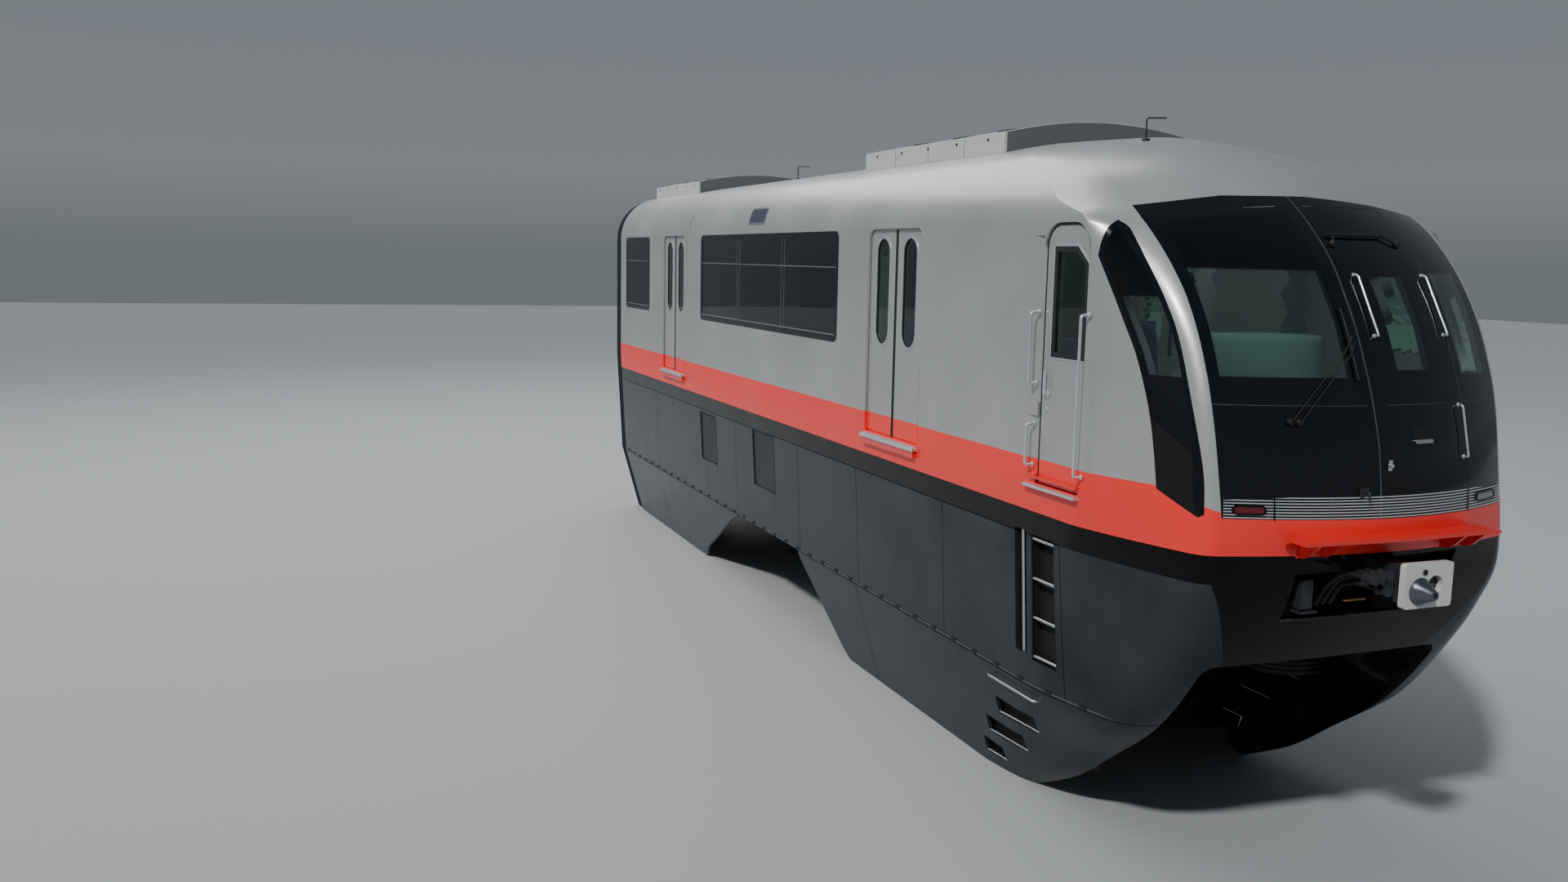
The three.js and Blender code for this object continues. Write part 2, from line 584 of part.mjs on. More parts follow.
function underframe() {
  const half = INNER_HALF - SEAT_GAP;
  const back = REAR_X + END_T + SEAT_GAP;
  const noseFloor = solid(loft([740, SILL_Z, 1150], WALL_T + LINING_GAP))
    .intersect(box(STRAIGHT_FLOOR_X - 100, FAR, -FAR, FAR, SLAB_BOTTOM, FLOOR_Z));
  const slab = join(box(back, STRAIGHT_FLOOR_X, -half, half, SLAB_BOTTOM, FLOOR_Z), noseFloor);
  const soles = [-1, 1].map((side) => {
    const [y0, y1] = side > 0 ? SOLE_Y : SOLE_Y.map((y) => -y).reverse();
    return box(back, STRAIGHT_FLOOR_X, y0, y1, SOLE_BOTTOM, SLAB_BOTTOM + 1);
  });
  const posts = [-PIVOT_X, PIVOT_X].map((x) =>
    cylinder(PIVOT_R, PIVOT_BOTTOM, SLAB_BOTTOM + 1, x, 0, PIVOT_STEPS));
  const draft = (x0, x1) => box(x0, x1, -DRAFT.half, DRAFT.half, DRAFT.low, SLAB_BOTTOM + 1);
  const draftFront = draft(DRAFT.frontRear, DRAFT.frontFront);
  const draftRear = draft(back, DRAFT.rear);
  return join(slab, ...soles, ...posts, draftFront, draftRear);
}

// Skirts: a thin skin that follows the body below the sill
const lowerOuter = solid(loft(LOWER_HEIGHTS, 0));
const lowerInner = solid(loft([-1500, ...LOWER_HEIGHTS.slice(0, -1), 1000], SKIRT_T));
const lowerSkin = cut(lowerOuter, lowerInner);
const SKIRT_TOP = SILL_Z - SEAT_GAP;
const FLAP_REAR = [
  [-6450, LEDGE_Z + 1], [-6450, -1400], [-3120, -1400], [-2960, -1350], [-2780, -1200],
  [-1250, -520], [-840, LEDGE_Z + 1],
];
const FLAP_FRONT = [
  [1080, LEDGE_Z + 1], [1120, -500], [1780, -1280], [1960, -1400], [7200, -1400],
  [7200, LEDGE_Z], [SKIRT_FRONT_X, LEDGE_Z], [SKIRT_FRONT_X, LEDGE_Z + 1],
];
const LADDER = { rear: 5800, front: 6100, low: -180, high: 750, rungs: [-160, 130, 420, 710], r: 13 };
const POLE_SLOT = { rear: 5575, front: 5735, low: -160, high: 760, x: 5655, r: 16 };
const STEP_HOLES = [
  // rear, front, low, high
  [5150, 5680, -810, -670],
  [4900, 5435, -1050, -905],
  [4770, 5060, -1270, -1140],
];

function rodX(radius, x0, x1, y, z) {
  const geometry = new THREE.CylinderGeometry(radius, radius, x1 - x0, 8);
  geometry.rotateZ(Math.PI / 2);
  geometry.translate((x0 + x1) / 2, y, z);
  return solid(geometry);
}

function sideSkirt() {
  const side = lowerSkin.intersect(box(-FAR, FAR, -FAR, -ARCH_HALF, -FAR, SKIRT_TOP));
  const upper = side.intersect(box(-FAR, SKIRT_FRONT_X, -FAR, 0, LEDGE_Z, FAR));
  const flaps = [FLAP_REAR, FLAP_FRONT].map((outline) => side.intersect(prismY(outline, -FAR, 0)));
  const holes = [
    box(LADDER.rear, LADDER.front, -FAR, 0, LADDER.low, LADDER.high),
    box(POLE_SLOT.rear, POLE_SLOT.front, -FAR, 0, POLE_SLOT.low, POLE_SLOT.high),
    ...STEP_HOLES.map(([x0, x1, z0, z1]) => box(x0, x1, -FAR, 0, z0, z1)),
  ];
  const skinMiddle = (z) => -(halfWidth(z) - SKIRT_T / 2);
  const rungs = LADDER.rungs.map((z) =>
    rodX(LADDER.r, LADDER.rear - 5, LADDER.front + 5, skinMiddle(z) + 2, z + 10));
  return join(cut(join(upper, ...flaps), ...holes), ...rungs, pole());
}

function pole() {
  const bottom = new THREE.Vector3(POLE_SLOT.x, -(halfWidth(POLE_SLOT.low) - SKIRT_T / 2), POLE_SLOT.low - 5);
  const top = new THREE.Vector3(POLE_SLOT.x, -(halfWidth(POLE_SLOT.high) - SKIRT_T / 2), POLE_SLOT.high + 5);
  const geometry = new THREE.CylinderGeometry(POLE_SLOT.r, POLE_SLOT.r, top.distanceTo(bottom), 8);
  const along = top.clone().sub(bottom).normalize();
  geometry.applyQuaternion(new THREE.Quaternion().setFromUnitVectors(ALONG_Y, along));
  geometry.translate(...top.add(bottom).multiplyScalar(0.5).toArray());
  return solid(geometry);
}

// Chin: carries the nose down from the mask, open for the coupler and over the beam
const RECESS = [[-600, 470], [600, 470], [640, 890], [-640, 890]];

function noseChin() {
  const inner = solid(loft([-500, ...LOWER_HEIGHTS.filter((z) => z > -500 && z < SILL_Z), 1000], CHIN_T));
  const zone = box(SKIRT_FRONT_X + SEAT_GAP, FAR, -FAR, FAR, LEDGE_Z + SEAT_GAP, SKIRT_TOP);
  const arch = roundedRect(-ARCH_HALF, ARCH_HALF, -FAR, ARCH_Z, 90, 3);
  return cut(lowerOuter.intersect(zone), inner, prismX(arch, 0, FAR), prismX(RECESS, 6000, FAR));
}

const SHELF = { back: 7480, front: 7810, halfBack: 790, halfFront: 815, top: 1052, t: 22 };

function bumperShelf() {
  const outline = [
    [SHELF.back, -SHELF.halfBack], [SHELF.front - 20, -SHELF.halfFront], [SHELF.front, 0],
    [SHELF.front - 20, SHELF.halfFront], [SHELF.back, SHELF.halfBack],
  ];
  const plate = extruded(outline, SHELF.top - SHELF.t, SHELF.top, [ALONG_X, ALONG_Y, ALONG_Z]);
  const web = [[SHELF.back, 925], [SHELF.back + 170, 925], [SHELF.front - 60, SHELF.top - 10],
    [SHELF.back, SHELF.top - 10]];
  const gussets = [-560, 0, 560].map((y) => prismY(web, y - 15, y + 15));
  const clear = solid(loft([800, 920, 1150], -SEAT_GAP));
  return join(plate, ...gussets).subtract(clear);
}

const COUPLER = { face: 7920, z: 788, halfY: 188, halfZ: 138 };

function frontCoupler() {
  const plate = prismX(roundedRect(-COUPLER.halfY, COUPLER.halfY, COUPLER.z - COUPLER.halfZ,
    COUPLER.z + COUPLER.halfZ, 25, 2), COUPLER.face - 60, COUPLER.face);
  const socket = rodX(72, COUPLER.face - 50, COUPLER.face + 10, 75, COUPLER.z - 10);
  const cone = new THREE.LatheGeometry([[0, 0], [82, 0], [82, 20], [30, 110], [0, 118]].map(([r, h]) =>
    new THREE.Vector2(r, h)), 16);
  cone.rotateZ(-Math.PI / 2);
  cone.translate(COUPLER.face - 1, -65, COUPLER.z - 15);
  const shank = box(7300, COUPLER.face - 40, -85, 85, COUPLER.z - 85, COUPLER.z + 85);
  const bar = rodX(62, DRAFT.frontFront + SEAT_GAP, 7310, 0, COUPLER.z);
  return join(plate.subtract(socket), solid(cone), shank, bar);
}

function rearDrawbar() {
  const back = REAR_X + END_T + SEAT_GAP;
  const bar = rodX(62, REAR_X - 330, back - SEAT_GAP, 0, COUPLER.z);
  const plate = box(REAR_X - 350, REAR_X - 320, -130, 130, COUPLER.z - 110, COUPLER.z + 110);
  return join(bar, plate);
}

const RACK = { half: 2700, halfWidth: 1250, bottom: 1000 };
const PODS = [[-2700, -1150], [-1050, 650], [750, 2700]];
const POD_Y = [560, 1280];
const POD_BOTTOM = -330;

function underfloorEquipment() {
  const { half, halfWidth: rackHalf, bottom } = RACK;
  const rack = box(-half, half, -rackHalf, rackHalf, bottom, SLAB_BOTTOM - SEAT_GAP);
  const pods = PODS.map(([rear, front]) => box(rear, front, ...POD_Y, POD_BOTTOM, bottom + 1));
  return join(rack, ...pods, ...pods.map(mirrored));
}

// Bogie, about its pivot
const TYRE_R = 503;
const AXLE_X = 750;
const GUIDE_R = 365;
const GUIDE_X = 1250;
const WHEEL_Y = BEAM_HALF + GUIDE_R;
const GUIDE_Z = [-400, -200];
const STABIL_Z = [-1100, -900];
const SILL_Y = [430, 560];
const FRAME_Z = [380, 620];
const FRAME_END_X = 1420;
const ARM_HALF = 65;           // half thickness of the arms that hold the side wheels
const ARM_GAP = 20;            // between an arm and the wheel under it
const STUB_R = 60;
const SPRING = { y: 850, r: 240, low: 600, high: SLAB_BOTTOM - SEAT_GAP };

function bogieFrame() {
  const [z0, z1] = FRAME_Z;
  const sides = [-1, 1].flatMap((side) => {
    const span = (a, b) => (side > 0 ? [a, b] : [-b, -a]);
    const [ya, yb] = span(...SILL_Y);
    const [pa, pb] = span(WHEEL_Y - ARM_HALF, WHEEL_Y + ARM_HALF);
    const arms = [
      // x, half length, top of the wheel it holds
      [-GUIDE_X, STUB_R, GUIDE_Z[1]],
      [0, 90, STABIL_Z[1]],
      [GUIDE_X, STUB_R, GUIDE_Z[1]],
    ].flatMap(([x, half, wheelTop]) => [
      box(x - half, x + half, pa, pb, wheelTop + ARM_GAP, z1),
      cylinder(STUB_R, wheelTop + SEAT_GAP, wheelTop + 2 * ARM_GAP, x, side * WHEEL_Y, 16),
    ]);
    return [
      box(-FRAME_END_X, FRAME_END_X, ya, yb, z0, z1),
      cylinder(SPRING.r, SPRING.low, SPRING.high, 0, side * SPRING.y, 20),
      ...arms,
    ];
  });
  const endBar = box(FRAME_END_X - 120, FRAME_END_X, -SILL_Y[1], SILL_Y[1], z0, z1);
  const ends = [endBar, box(-FRAME_END_X, 120 - FRAME_END_X, -SILL_Y[1], SILL_Y[1], z0, z1)];
  const armBars = [-GUIDE_X, GUIDE_X].flatMap((x) => [
    box(x - STUB_R, x + STUB_R, -WHEEL_Y - ARM_HALF, -SILL_Y[0], z0, z1),
    box(x - STUB_R, x + STUB_R, SILL_Y[0], WHEEL_Y + ARM_HALF, z0, z1),
  ]);
  const transom = box(-180, 180, -1000, 1000, z0, z1);
  const bore = cylinder(PIVOT_R + 1, 0, SLAB_BOTTOM, 0, 0, PIVOT_STEPS);
  return cut(join(transom, ...sides, ...ends, ...armBars), bore);
}

function lathed(profile, steps) {
  return new THREE.LatheGeometry(profile.map(([r, h]) => new THREE.Vector2(r, h)), steps);
}

// Running axle with a pair of tyres, turning about Y
const TYRE_EDGE = 28;

function axle() {
  const shaft = 60;
  const end = SILL_Y[0] - SEAT_GAP;
  const [inner, outer] = [48, 342];   // side walls of one tyre, from the middle of the axle
  const tread = TYRE_R - TYRE_EDGE;
  const half = [[shaft, inner - 3], [tread, inner], [TYRE_R, inner + 37], [TYRE_R, outer - 37],
    [tread, outer], [110, outer], [shaft, outer + 18], [shaft, end], [0, end]];
  const other = half.map(([r, h]) => [r, -h]).reverse();
  return lathed([...other, ...half], 22);
}

// Guide or stabilising wheel, turning about Z, its hub face up against the arm
function sideWheel() {
  const profile = [[0, 0], [100, 0], [230, 40], [GUIDE_R - TYRE_EDGE, 10], [GUIDE_R, 50],
    [GUIDE_R, 150], [GUIDE_R - TYRE_EDGE, 190], [230, 160], [100, 200], [0, 200]];
  return lathed(profile, 18).rotateX(Math.PI / 2);
}

// Finishes
function finish(color, roughness, metalness = 0) {
  return new THREE.MeshStandardMaterial({ color, roughness, metalness });
}
const SILVER_PAINT = [0xa9aaa8, 0.35, 0.5];
const ROOF_PAINT = [0xc2c2c0, 0.4, 0.4];
const GREY_PAINT = [0x4a4d50, 0.3, 0.4];
const RED_PAINT = [0xde3a30, 0.35];
const BLACK_GLOSS = [0x101114, 0.15];
const GLASS = [0x1a2426, 0.05];
const DARK_FABRIC = [0x1b1d2a, 0.8];
const AC_PAINT = [0xa3a3a0, 0.5, 0.3];
const STEEL = [0x8c8f92, 0.35, 0.9];
const CAST = [0x33363a, 0.6, 0.5];
const RUBBER = [0x17171a, 0.85];
const LINING = [0xcfd2cf, 0.6];
const SEAT_CLOTH = [0x3b5a86, 0.9];

const car = new THREE.Group();

function place(name, shape, look, parent = car, position = [0, 0, 0]) {
  const geometry = shape.getMesh ? geometryOf(shape) : shape;
  const mesh = new THREE.Mesh(geometry, finish(...look));
  mesh.name = name;
  mesh.position.set(...position);
  parent.add(mesh);
}

// Pieces that come as a right and a left one
function placePair(name, body, look) {
  place(`${name}_right`, body, look);
  place(`${name}_left`, mirrored(body), look);
}

const roof = shellFrontOfEnd.intersect(box(-FAR, MASK_X, -FAR, FAR, WALL_TOP, FAR));
place("underframe", underframe(), CAST);
place("roof", roof, ROOF_PAINT);
placePair("side_wall", sideWall(), SILVER_PAINT);
place("front_mask", frontMask(), SILVER_PAINT);
place("windscreen_right", nosePane(WINDSCREEN_RIGHT), GLASS);
place("windscreen_left", nosePane(WINDSCREEN_LEFT), GLASS);
placePair("quarter_window", quarterPane(), GLASS);
place("emergency_door", escapeDoor(), BLACK_GLOSS);
place("emergency_door_window", nosePane(ESCAPE_WINDOW), GLASS);
place("rear_end_wall", rearEndWall(), SILVER_PAINT);
place("gangway_bellows", gangwayBellows(), DARK_FABRIC);
for (const [name, rear, front] of AC_BOXES) {
  place(`ac_unit_${name}`, acUnit(rear, front), AC_PAINT);
}
for (const [name, rear, front] of SIDE_WINDOWS) {
  placePair(`window_${name}`, sidePane(rear, front), GLASS);
}
place("cab_partition", cabPartition(), LINING);
place("cab_desk", cabDesk(), CAST);
place("driver_seat", driverSeat(), SEAT_CLOTH);
placePair("bench", bench(), SEAT_CLOTH);
placePair("side_skirt", sideSkirt(), GREY_PAINT);
place("nose_chin", noseChin(), GREY_PAINT);
place("bumper_shelf", bumperShelf(), RED_PAINT);
place("front_coupler", frontCoupler(), STEEL);
place("rear_drawbar", rearDrawbar(), CAST);
place("underfloor_equipment", underfloorEquipment(), CAST);

const DOOR_ENDS = [["rear", DOOR_CENTRES[0]], ["front", DOOR_CENTRES[1]]];
for (const [end, centre] of DOOR_ENDS) {
  for (const [part, direction] of [["aft", -1], ["fore", 1]]) {
    const leaf = doorLeaf(direction);
    place(`door_right_${end}_${part}`, leaf, SILVER_PAINT, car, [centre, 0, 0]);
    place(`door_left_${end}_${part}`, mirrored(leaf), SILVER_PAINT, car, [centre, 0, 0]);
  }
}
placePair("cab_door", cabDoor(), SILVER_PAINT);

for (const [end, x] of [["front", PIVOT_X], ["rear", -PIVOT_X]]) {
  const bogie = new THREE.Group();
  bogie.position.set(x, 0, 0);
  car.add(bogie);
  place(`bogie_frame_${end}`, bogieFrame(), CAST, bogie);
  for (const [part, direction] of [["fore", 1], ["aft", -1]]) {
    place(`axle_${end}_${part}`, axle(), RUBBER, bogie, [direction * AXLE_X, 0, TYRE_R]);
    for (const [hand, side] of [["right", -1], ["left", 1]]) {
      place(`guide_wheel_${end}_${part}_${hand}`, sideWheel(), RUBBER, bogie,
        [direction * GUIDE_X, side * WHEEL_Y, GUIDE_Z[0]]);
    }
  }
  for (const [hand, side] of [["right", -1], ["left", 1]]) {
    place(`stabilising_wheel_${end}_${hand}`, sideWheel(), RUBBER, bogie, [0, side * WHEEL_Y, STABIL_Z[0]]);
  }
}

export default car;
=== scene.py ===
# %% [markdown]
# A leading car of a straddle-beam monorail, finished for a picture. The solids of the car arrive
# from its CAD model at their real size and place. This script gives them their look: it rebuilds the
# curved panels finely enough to shine like sprayed metal, adds gaskets, rails, lamps and seats, and
# paints everything with procedural materials. Every length is in metres, X points to the nose,
# Y to the car's left and Z up, and z = 0 is the top of the beam.

# %% Load the car
import json
import math

import bmesh
import bpy
import numpy as np
from mathutils import Matrix, Vector
from mathutils.bvhtree import BVHTree

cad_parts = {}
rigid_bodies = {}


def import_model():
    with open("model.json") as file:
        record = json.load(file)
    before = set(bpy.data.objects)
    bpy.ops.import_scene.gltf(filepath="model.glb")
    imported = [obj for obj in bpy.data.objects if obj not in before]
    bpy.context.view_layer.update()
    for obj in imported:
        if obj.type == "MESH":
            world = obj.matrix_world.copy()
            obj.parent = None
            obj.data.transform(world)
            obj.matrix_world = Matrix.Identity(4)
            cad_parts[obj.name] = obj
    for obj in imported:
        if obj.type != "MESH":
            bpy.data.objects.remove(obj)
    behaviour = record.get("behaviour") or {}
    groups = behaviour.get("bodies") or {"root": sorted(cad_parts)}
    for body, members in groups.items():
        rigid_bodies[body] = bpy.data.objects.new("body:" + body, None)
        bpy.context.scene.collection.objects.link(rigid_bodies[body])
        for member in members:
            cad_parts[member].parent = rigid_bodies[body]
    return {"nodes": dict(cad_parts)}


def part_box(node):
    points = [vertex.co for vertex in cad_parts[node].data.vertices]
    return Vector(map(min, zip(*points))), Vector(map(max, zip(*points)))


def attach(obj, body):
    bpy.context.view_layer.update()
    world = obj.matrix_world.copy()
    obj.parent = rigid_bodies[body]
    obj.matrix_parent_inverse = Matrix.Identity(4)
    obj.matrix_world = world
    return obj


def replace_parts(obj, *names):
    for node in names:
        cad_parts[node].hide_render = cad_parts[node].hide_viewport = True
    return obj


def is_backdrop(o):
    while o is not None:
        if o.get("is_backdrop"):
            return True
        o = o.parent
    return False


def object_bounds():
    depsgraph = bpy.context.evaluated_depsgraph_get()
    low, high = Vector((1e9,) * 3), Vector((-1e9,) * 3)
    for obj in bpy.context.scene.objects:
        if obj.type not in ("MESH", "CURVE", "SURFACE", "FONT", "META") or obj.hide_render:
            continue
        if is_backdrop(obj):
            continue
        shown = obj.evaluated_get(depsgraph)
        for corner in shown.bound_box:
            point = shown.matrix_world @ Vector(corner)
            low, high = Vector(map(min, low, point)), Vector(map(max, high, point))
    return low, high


for leftover in list(bpy.data.objects):
    bpy.data.objects.remove(leftover)
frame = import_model()
cad_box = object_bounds()
BODY = "car_body"

# %% [markdown]
# The camera stands where the photographer stood: at eye height above the floor of the car, ahead of it
# and to its right. Its place and turn were solved from the car's known width, length and door height. The
# lens follows from the same solution, and the small roll is the photographer's tilt of the hand.

# %% Camera
CAMERA_AT = Vector((13.762, -6.376, 2.657))
YAW, PITCH, ROLL = (math.radians(a) for a in (159.26, -7.90, 1.132))
LENS_MM, SENSOR_MM = 30.18, 36.0

gaze = Vector((math.cos(YAW) * math.cos(PITCH), math.sin(YAW) * math.cos(PITCH), math.sin(PITCH)))
level = gaze.cross(Vector((0, 0, 1))).normalized()
upright = level.cross(gaze)
right = math.cos(ROLL) * level + math.sin(ROLL) * upright
above = -math.sin(ROLL) * level + math.cos(ROLL) * upright
camera = bpy.data.objects.new("camera", bpy.data.cameras.new("camera"))
bpy.context.scene.collection.objects.link(camera)
camera.matrix_world = Matrix.Translation(CAMERA_AT) @ Matrix((right, above, -gaze)).transposed().to_4x4()
camera.data.lens = LENS_MM
camera.data.sensor_width = SENSOR_MM
camera.data.clip_end = 400
bpy.context.scene.camera = camera
print("camera", [round(v, 2) for v in camera.location])

# %% [markdown]
# A vehicle this size needs a large studio: a pale floor that is level with the lowest edge of the
# skirts, a pale sky all round it, one broad soft light from above as the sky gives, and a weaker sun
# from the front right, because that side of the real car is lit.

# %% Helpers for nodes and colours
def linear(hex_colour):
    """An sRGB hex colour as linear RGBA."""
    parts = [int(hex_colour[i:i + 2], 16) / 255 for i in (1, 3, 5)]
    return tuple(c / 12.92 if c <= 0.04045 else ((c + 0.055) / 1.055) ** 2.4 for c in parts) + (1.0,)


MATH, NOISE, RANGE, MIX = "ShaderNodeMath", "ShaderNodeTexNoise", "ShaderNodeMapRange", "ShaderNodeMix"
SPLIT, COORDINATES = "ShaderNodeSeparateXYZ", "ShaderNodeTexCoord"


def put(tree, socket, value):
    """Sets an input, or links it to a socket or to the first output of a node."""
    if isinstance(value, bpy.types.Node):
        value = next(output for output in value.outputs if output.enabled)
    if isinstance(value, bpy.types.NodeSocket):
        tree.links.new(value, socket)
    else:
        socket.default_value = value


def add(tree, kind, inputs=None, **settings):
    """Adds a node, sets its properties, and fills its inputs, which go by name or by number."""
    made = tree.nodes.new(kind)
    for key, value in settings.items():
        setattr(made, key, value)
    sockets = [socket for socket in made.inputs if socket.enabled]
    for key, value in (inputs or {}).items():
        named = sockets[key] if isinstance(key, int) else next(s for s in sockets if s.name == key)
        put(tree, named, value)
    return made


print("mid grey in linear light", round(linear("#808080")[0], 3))

# %% Studio
FLOOR_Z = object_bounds()[0][2] - 0.002
FLOOR_REACH = 90.0

floor_mesh = bpy.data.meshes.new("studio_floor")
floor_mesh.from_pydata(
    [(x * FLOOR_REACH, y * FLOOR_REACH, FLOOR_Z) for x, y in ((-1, -1), (1, -1), (1, 1), (-1, 1))],
    [], [(0, 1, 2, 3)])
floor = bpy.data.objects.new("studio_floor", floor_mesh)
bpy.context.scene.collection.objects.link(floor)
floor_paint = bpy.data.materials.new("matt studio floor")
floor_paint.use_nodes = True
floor_shader = floor_paint.node_tree.nodes["Principled BSDF"]
put(floor_paint.node_tree, floor_shader.inputs["Base Color"], linear("#A4A6A7"))
put(floor_paint.node_tree, floor_shader.inputs["Roughness"], 0.8)
floor_mesh.materials.append(floor_paint)
floor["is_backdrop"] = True

world = bpy.data.worlds.new("pale sky")
bpy.context.scene.world = world
world.use_nodes = True
sky = world.node_tree
sky.nodes.clear()
height = add(sky, SPLIT, {"Vector": add(sky, COORDINATES).outputs["Generated"]}).outputs["Z"]
band = add(sky, "ShaderNodeValToRGB", {0: height})
low_stop, high_stop = band.color_ramp.elements
low_stop.color, high_stop.color, high_stop.position = linear("#8F979D"), linear("#7F8C9B"), 0.7
band.color_ramp.elements.new(0.06).color = linear("#A4ACB3")
glow = add(sky, "ShaderNodeBackground", {"Color": band, "Strength": 0.55})
add(sky, "ShaderNodeOutputWorld", {"Surface": glow})


def light(name, place, target, size, power, kind="AREA"):
    data = bpy.data.lights.new(name, kind)
    data.energy = power
    if kind == "AREA":
        data.shape = "RECTANGLE"
        data.size, data.size_y = size
    else:
        data.angle = size
    lamp = bpy.data.objects.new(name, data)
    lamp.location = place
    lamp.rotation_euler = (Vector(target) - Vector(place)).to_track_quat("-Z", "Y").to_euler()
    bpy.context.scene.collection.objects.link(lamp)


light("sky_panel", (-12, -6, 20), (-2, 0, 1), (36, 24), 5200)
light("sun", (14, -16, 20), (2, 0, 1), math.radians(4), 2.6, "SUN")
print("studio floor at", round(FLOOR_Z, 3))

# %% [markdown]
# The body is one smooth form: straight sides, a round shoulder, a flat crown, and a nose that draws
# in like a bow below and leans back above. It could be sculpted, or carried over as facets. Here it is
# computed again from the same few sections as the car's solids, but finer and with curves between the
# sections, so that reflections run over it without breaks.

# %% Sections of the body
REAR_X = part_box("rear_end_wall")[1][0] - 0.06
HALF_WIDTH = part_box("rear_end_wall")[1][1]
FLOOR_TOP = 1.13
SILL_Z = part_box("side_wall_left")[0][2]
WALL_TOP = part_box("side_wall_left")[1][2]
WALL_T = 0.10
SHOULDER_Y, SHOULDER_Z, SHOULDER_R = 0.870, 2.915, 0.620
CROWN_R, CROWN_Z = 3.980, 3.650
LEDGE_Z, LEDGE_Y = -0.390, 1.400
SKIRT_BOTTOM_Z, SKIRT_BOTTOM_Y = -1.370, 1.120
NOSE_TIP_X, NOSE_BELT_Z, NOSE_BACK_X = 7.640, 1.500, 4.795
MASK_X = 6.405
TAPER_POWER = 1.35


def crown_z(degrees):
    return CROWN_Z - CROWN_R * (1 - math.cos(math.radians(degrees)))


def shoulder_z(degrees):
    return SHOULDER_Z + SHOULDER_R * math.sin(math.radians(degrees))


def half_width(z):
    """Half the width of the straight part of the car at a height."""
    if z > shoulder_z(75):
        return math.sqrt(max(0.0, CROWN_R ** 2 - (z - CROWN_Z + CROWN_R) ** 2))
    if z > SHOULDER_Z:
        return SHOULDER_Y + math.sqrt(SHOULDER_R ** 2 - (z - SHOULDER_Z) ** 2)
    if z >= FLOOR_TOP:
        return HALF_WIDTH
    if z >= LEDGE_Z:
        return LEDGE_Y + (HALF_WIDTH - LEDGE_Y) * (z - LEDGE_Z) / (FLOOR_TOP - LEDGE_Z)
    share = (z - SKIRT_BOTTOM_Z) / (LEDGE_Z - SKIRT_BOTTOM_Z)
    return SKIRT_BOTTOM_Y + (LEDGE_Y - SKIRT_BOTTOM_Y) * share


def nose_ellipse(z):
    rise = (z - NOSE_BELT_Z) / (CROWN_Z - NOSE_BELT_Z)
    return NOSE_BACK_X + (NOSE_TIP_X - NOSE_BACK_X) * math.sqrt(max(0.0, 1 - rise * rise))


print("half width at the ledge and the floor", half_width(LEDGE_Z), round(half_width(FLOOR_TOP), 3))

# %% Plan of the nose
# z, where the taper starts, the corner's x and y, how far it is rounded, the tip on the centre line
NOSE_PLAN = [
    (-1.370, 4.700, 5.380, 1.010, 0.260, 5.460),
    (-1.100, 5.050, 5.860, 1.070, 0.280, 5.940),
    (-0.800, 5.350, 6.240, 1.120, 0.280, 6.310),
    (-0.390, 5.800, 6.735, 1.222, 0.245, 6.760),
    (0.000, 5.950, 7.045, 1.224, 0.235, 7.080),
    (0.400, 6.050, 7.270, 1.230, 0.190, 7.340),
    (0.740, 6.200, 7.377, 1.235, 0.140, 7.520),
    (0.920, 6.300, 7.368, 1.228, 0.105, 7.590),
    (1.150, 6.350, 7.345, 1.214, 0.090, 7.655),
    (1.500, 6.350, 7.299, 1.202, 0.070, 7.617),
    (1.850, 6.350, 7.230, 1.201, 0.055, 7.522),
    (2.100, 6.350, 7.144, 1.205, 0.055, 7.424),
    (2.300, 6.350, 7.050, 1.219, 0.060, 7.334),
    (2.500, 6.350, 6.924, 1.235, 0.068, 7.222),
    (2.700, 6.350, 6.757, 1.253, 0.075, 7.094),
    (WALL_TOP, 6.330, 6.465, 1.275, 0.080, 6.850),
    (shoulder_z(15), 5.980, 6.268, 1.288, 0.100, 6.714),
    (shoulder_z(30), 5.700, 6.020, 1.295, 0.110, nose_ellipse(shoulder_z(30))),
    (shoulder_z(45), 5.420, 5.745, 1.225, 0.140, nose_ellipse(shoulder_z(45))),
    (shoulder_z(60), 5.120, 5.520, 1.050, 0.220, nose_ellipse(shoulder_z(60))),
    (shoulder_z(75), 4.850, 5.325, 0.875, 0.250, nose_ellipse(shoulder_z(75))),
    (crown_z(12.5), 4.690, 5.178, 0.725, 0.240, nose_ellipse(crown_z(12.5))),
    (crown_z(10), 4.560, 5.020, 0.565, 0.210, nose_ellipse(crown_z(10))),
    (crown_z(7.5), 4.450, 4.870, 0.405, 0.160, nose_ellipse(crown_z(7.5))),
    (crown_z(5), 4.385, 4.740, 0.255, 0.110, nose_ellipse(crown_z(5))),
    (crown_z(1.8), 4.340, 4.600, 0.090, 0.040, nose_ellipse(crown_z(1.8))),
]
PLAN = np.array(NOSE_PLAN)


def plan_slopes(values, heights):
    """Slopes for a smooth curve through the sections that never swings past them."""
    step = np.diff(heights)
    rate = np.diff(values) / step
    slopes = np.empty_like(values)
    slopes[0], slopes[-1] = rate[0], rate[-1]
    for i in range(1, len(values) - 1):
        before, after = rate[i - 1], rate[i]
        if before * after <= 0:
            slopes[i] = 0.0
        else:
            wide, narrow = 2 * step[i] + step[i - 1], step[i] + 2 * step[i - 1]
            slopes[i] = (wide + narrow) / (wide / before + narrow / after)
    return slopes


SLOPES = np.array([plan_slopes(PLAN[:, c], PLAN[:, 0]) for c in range(1, 6)]).T


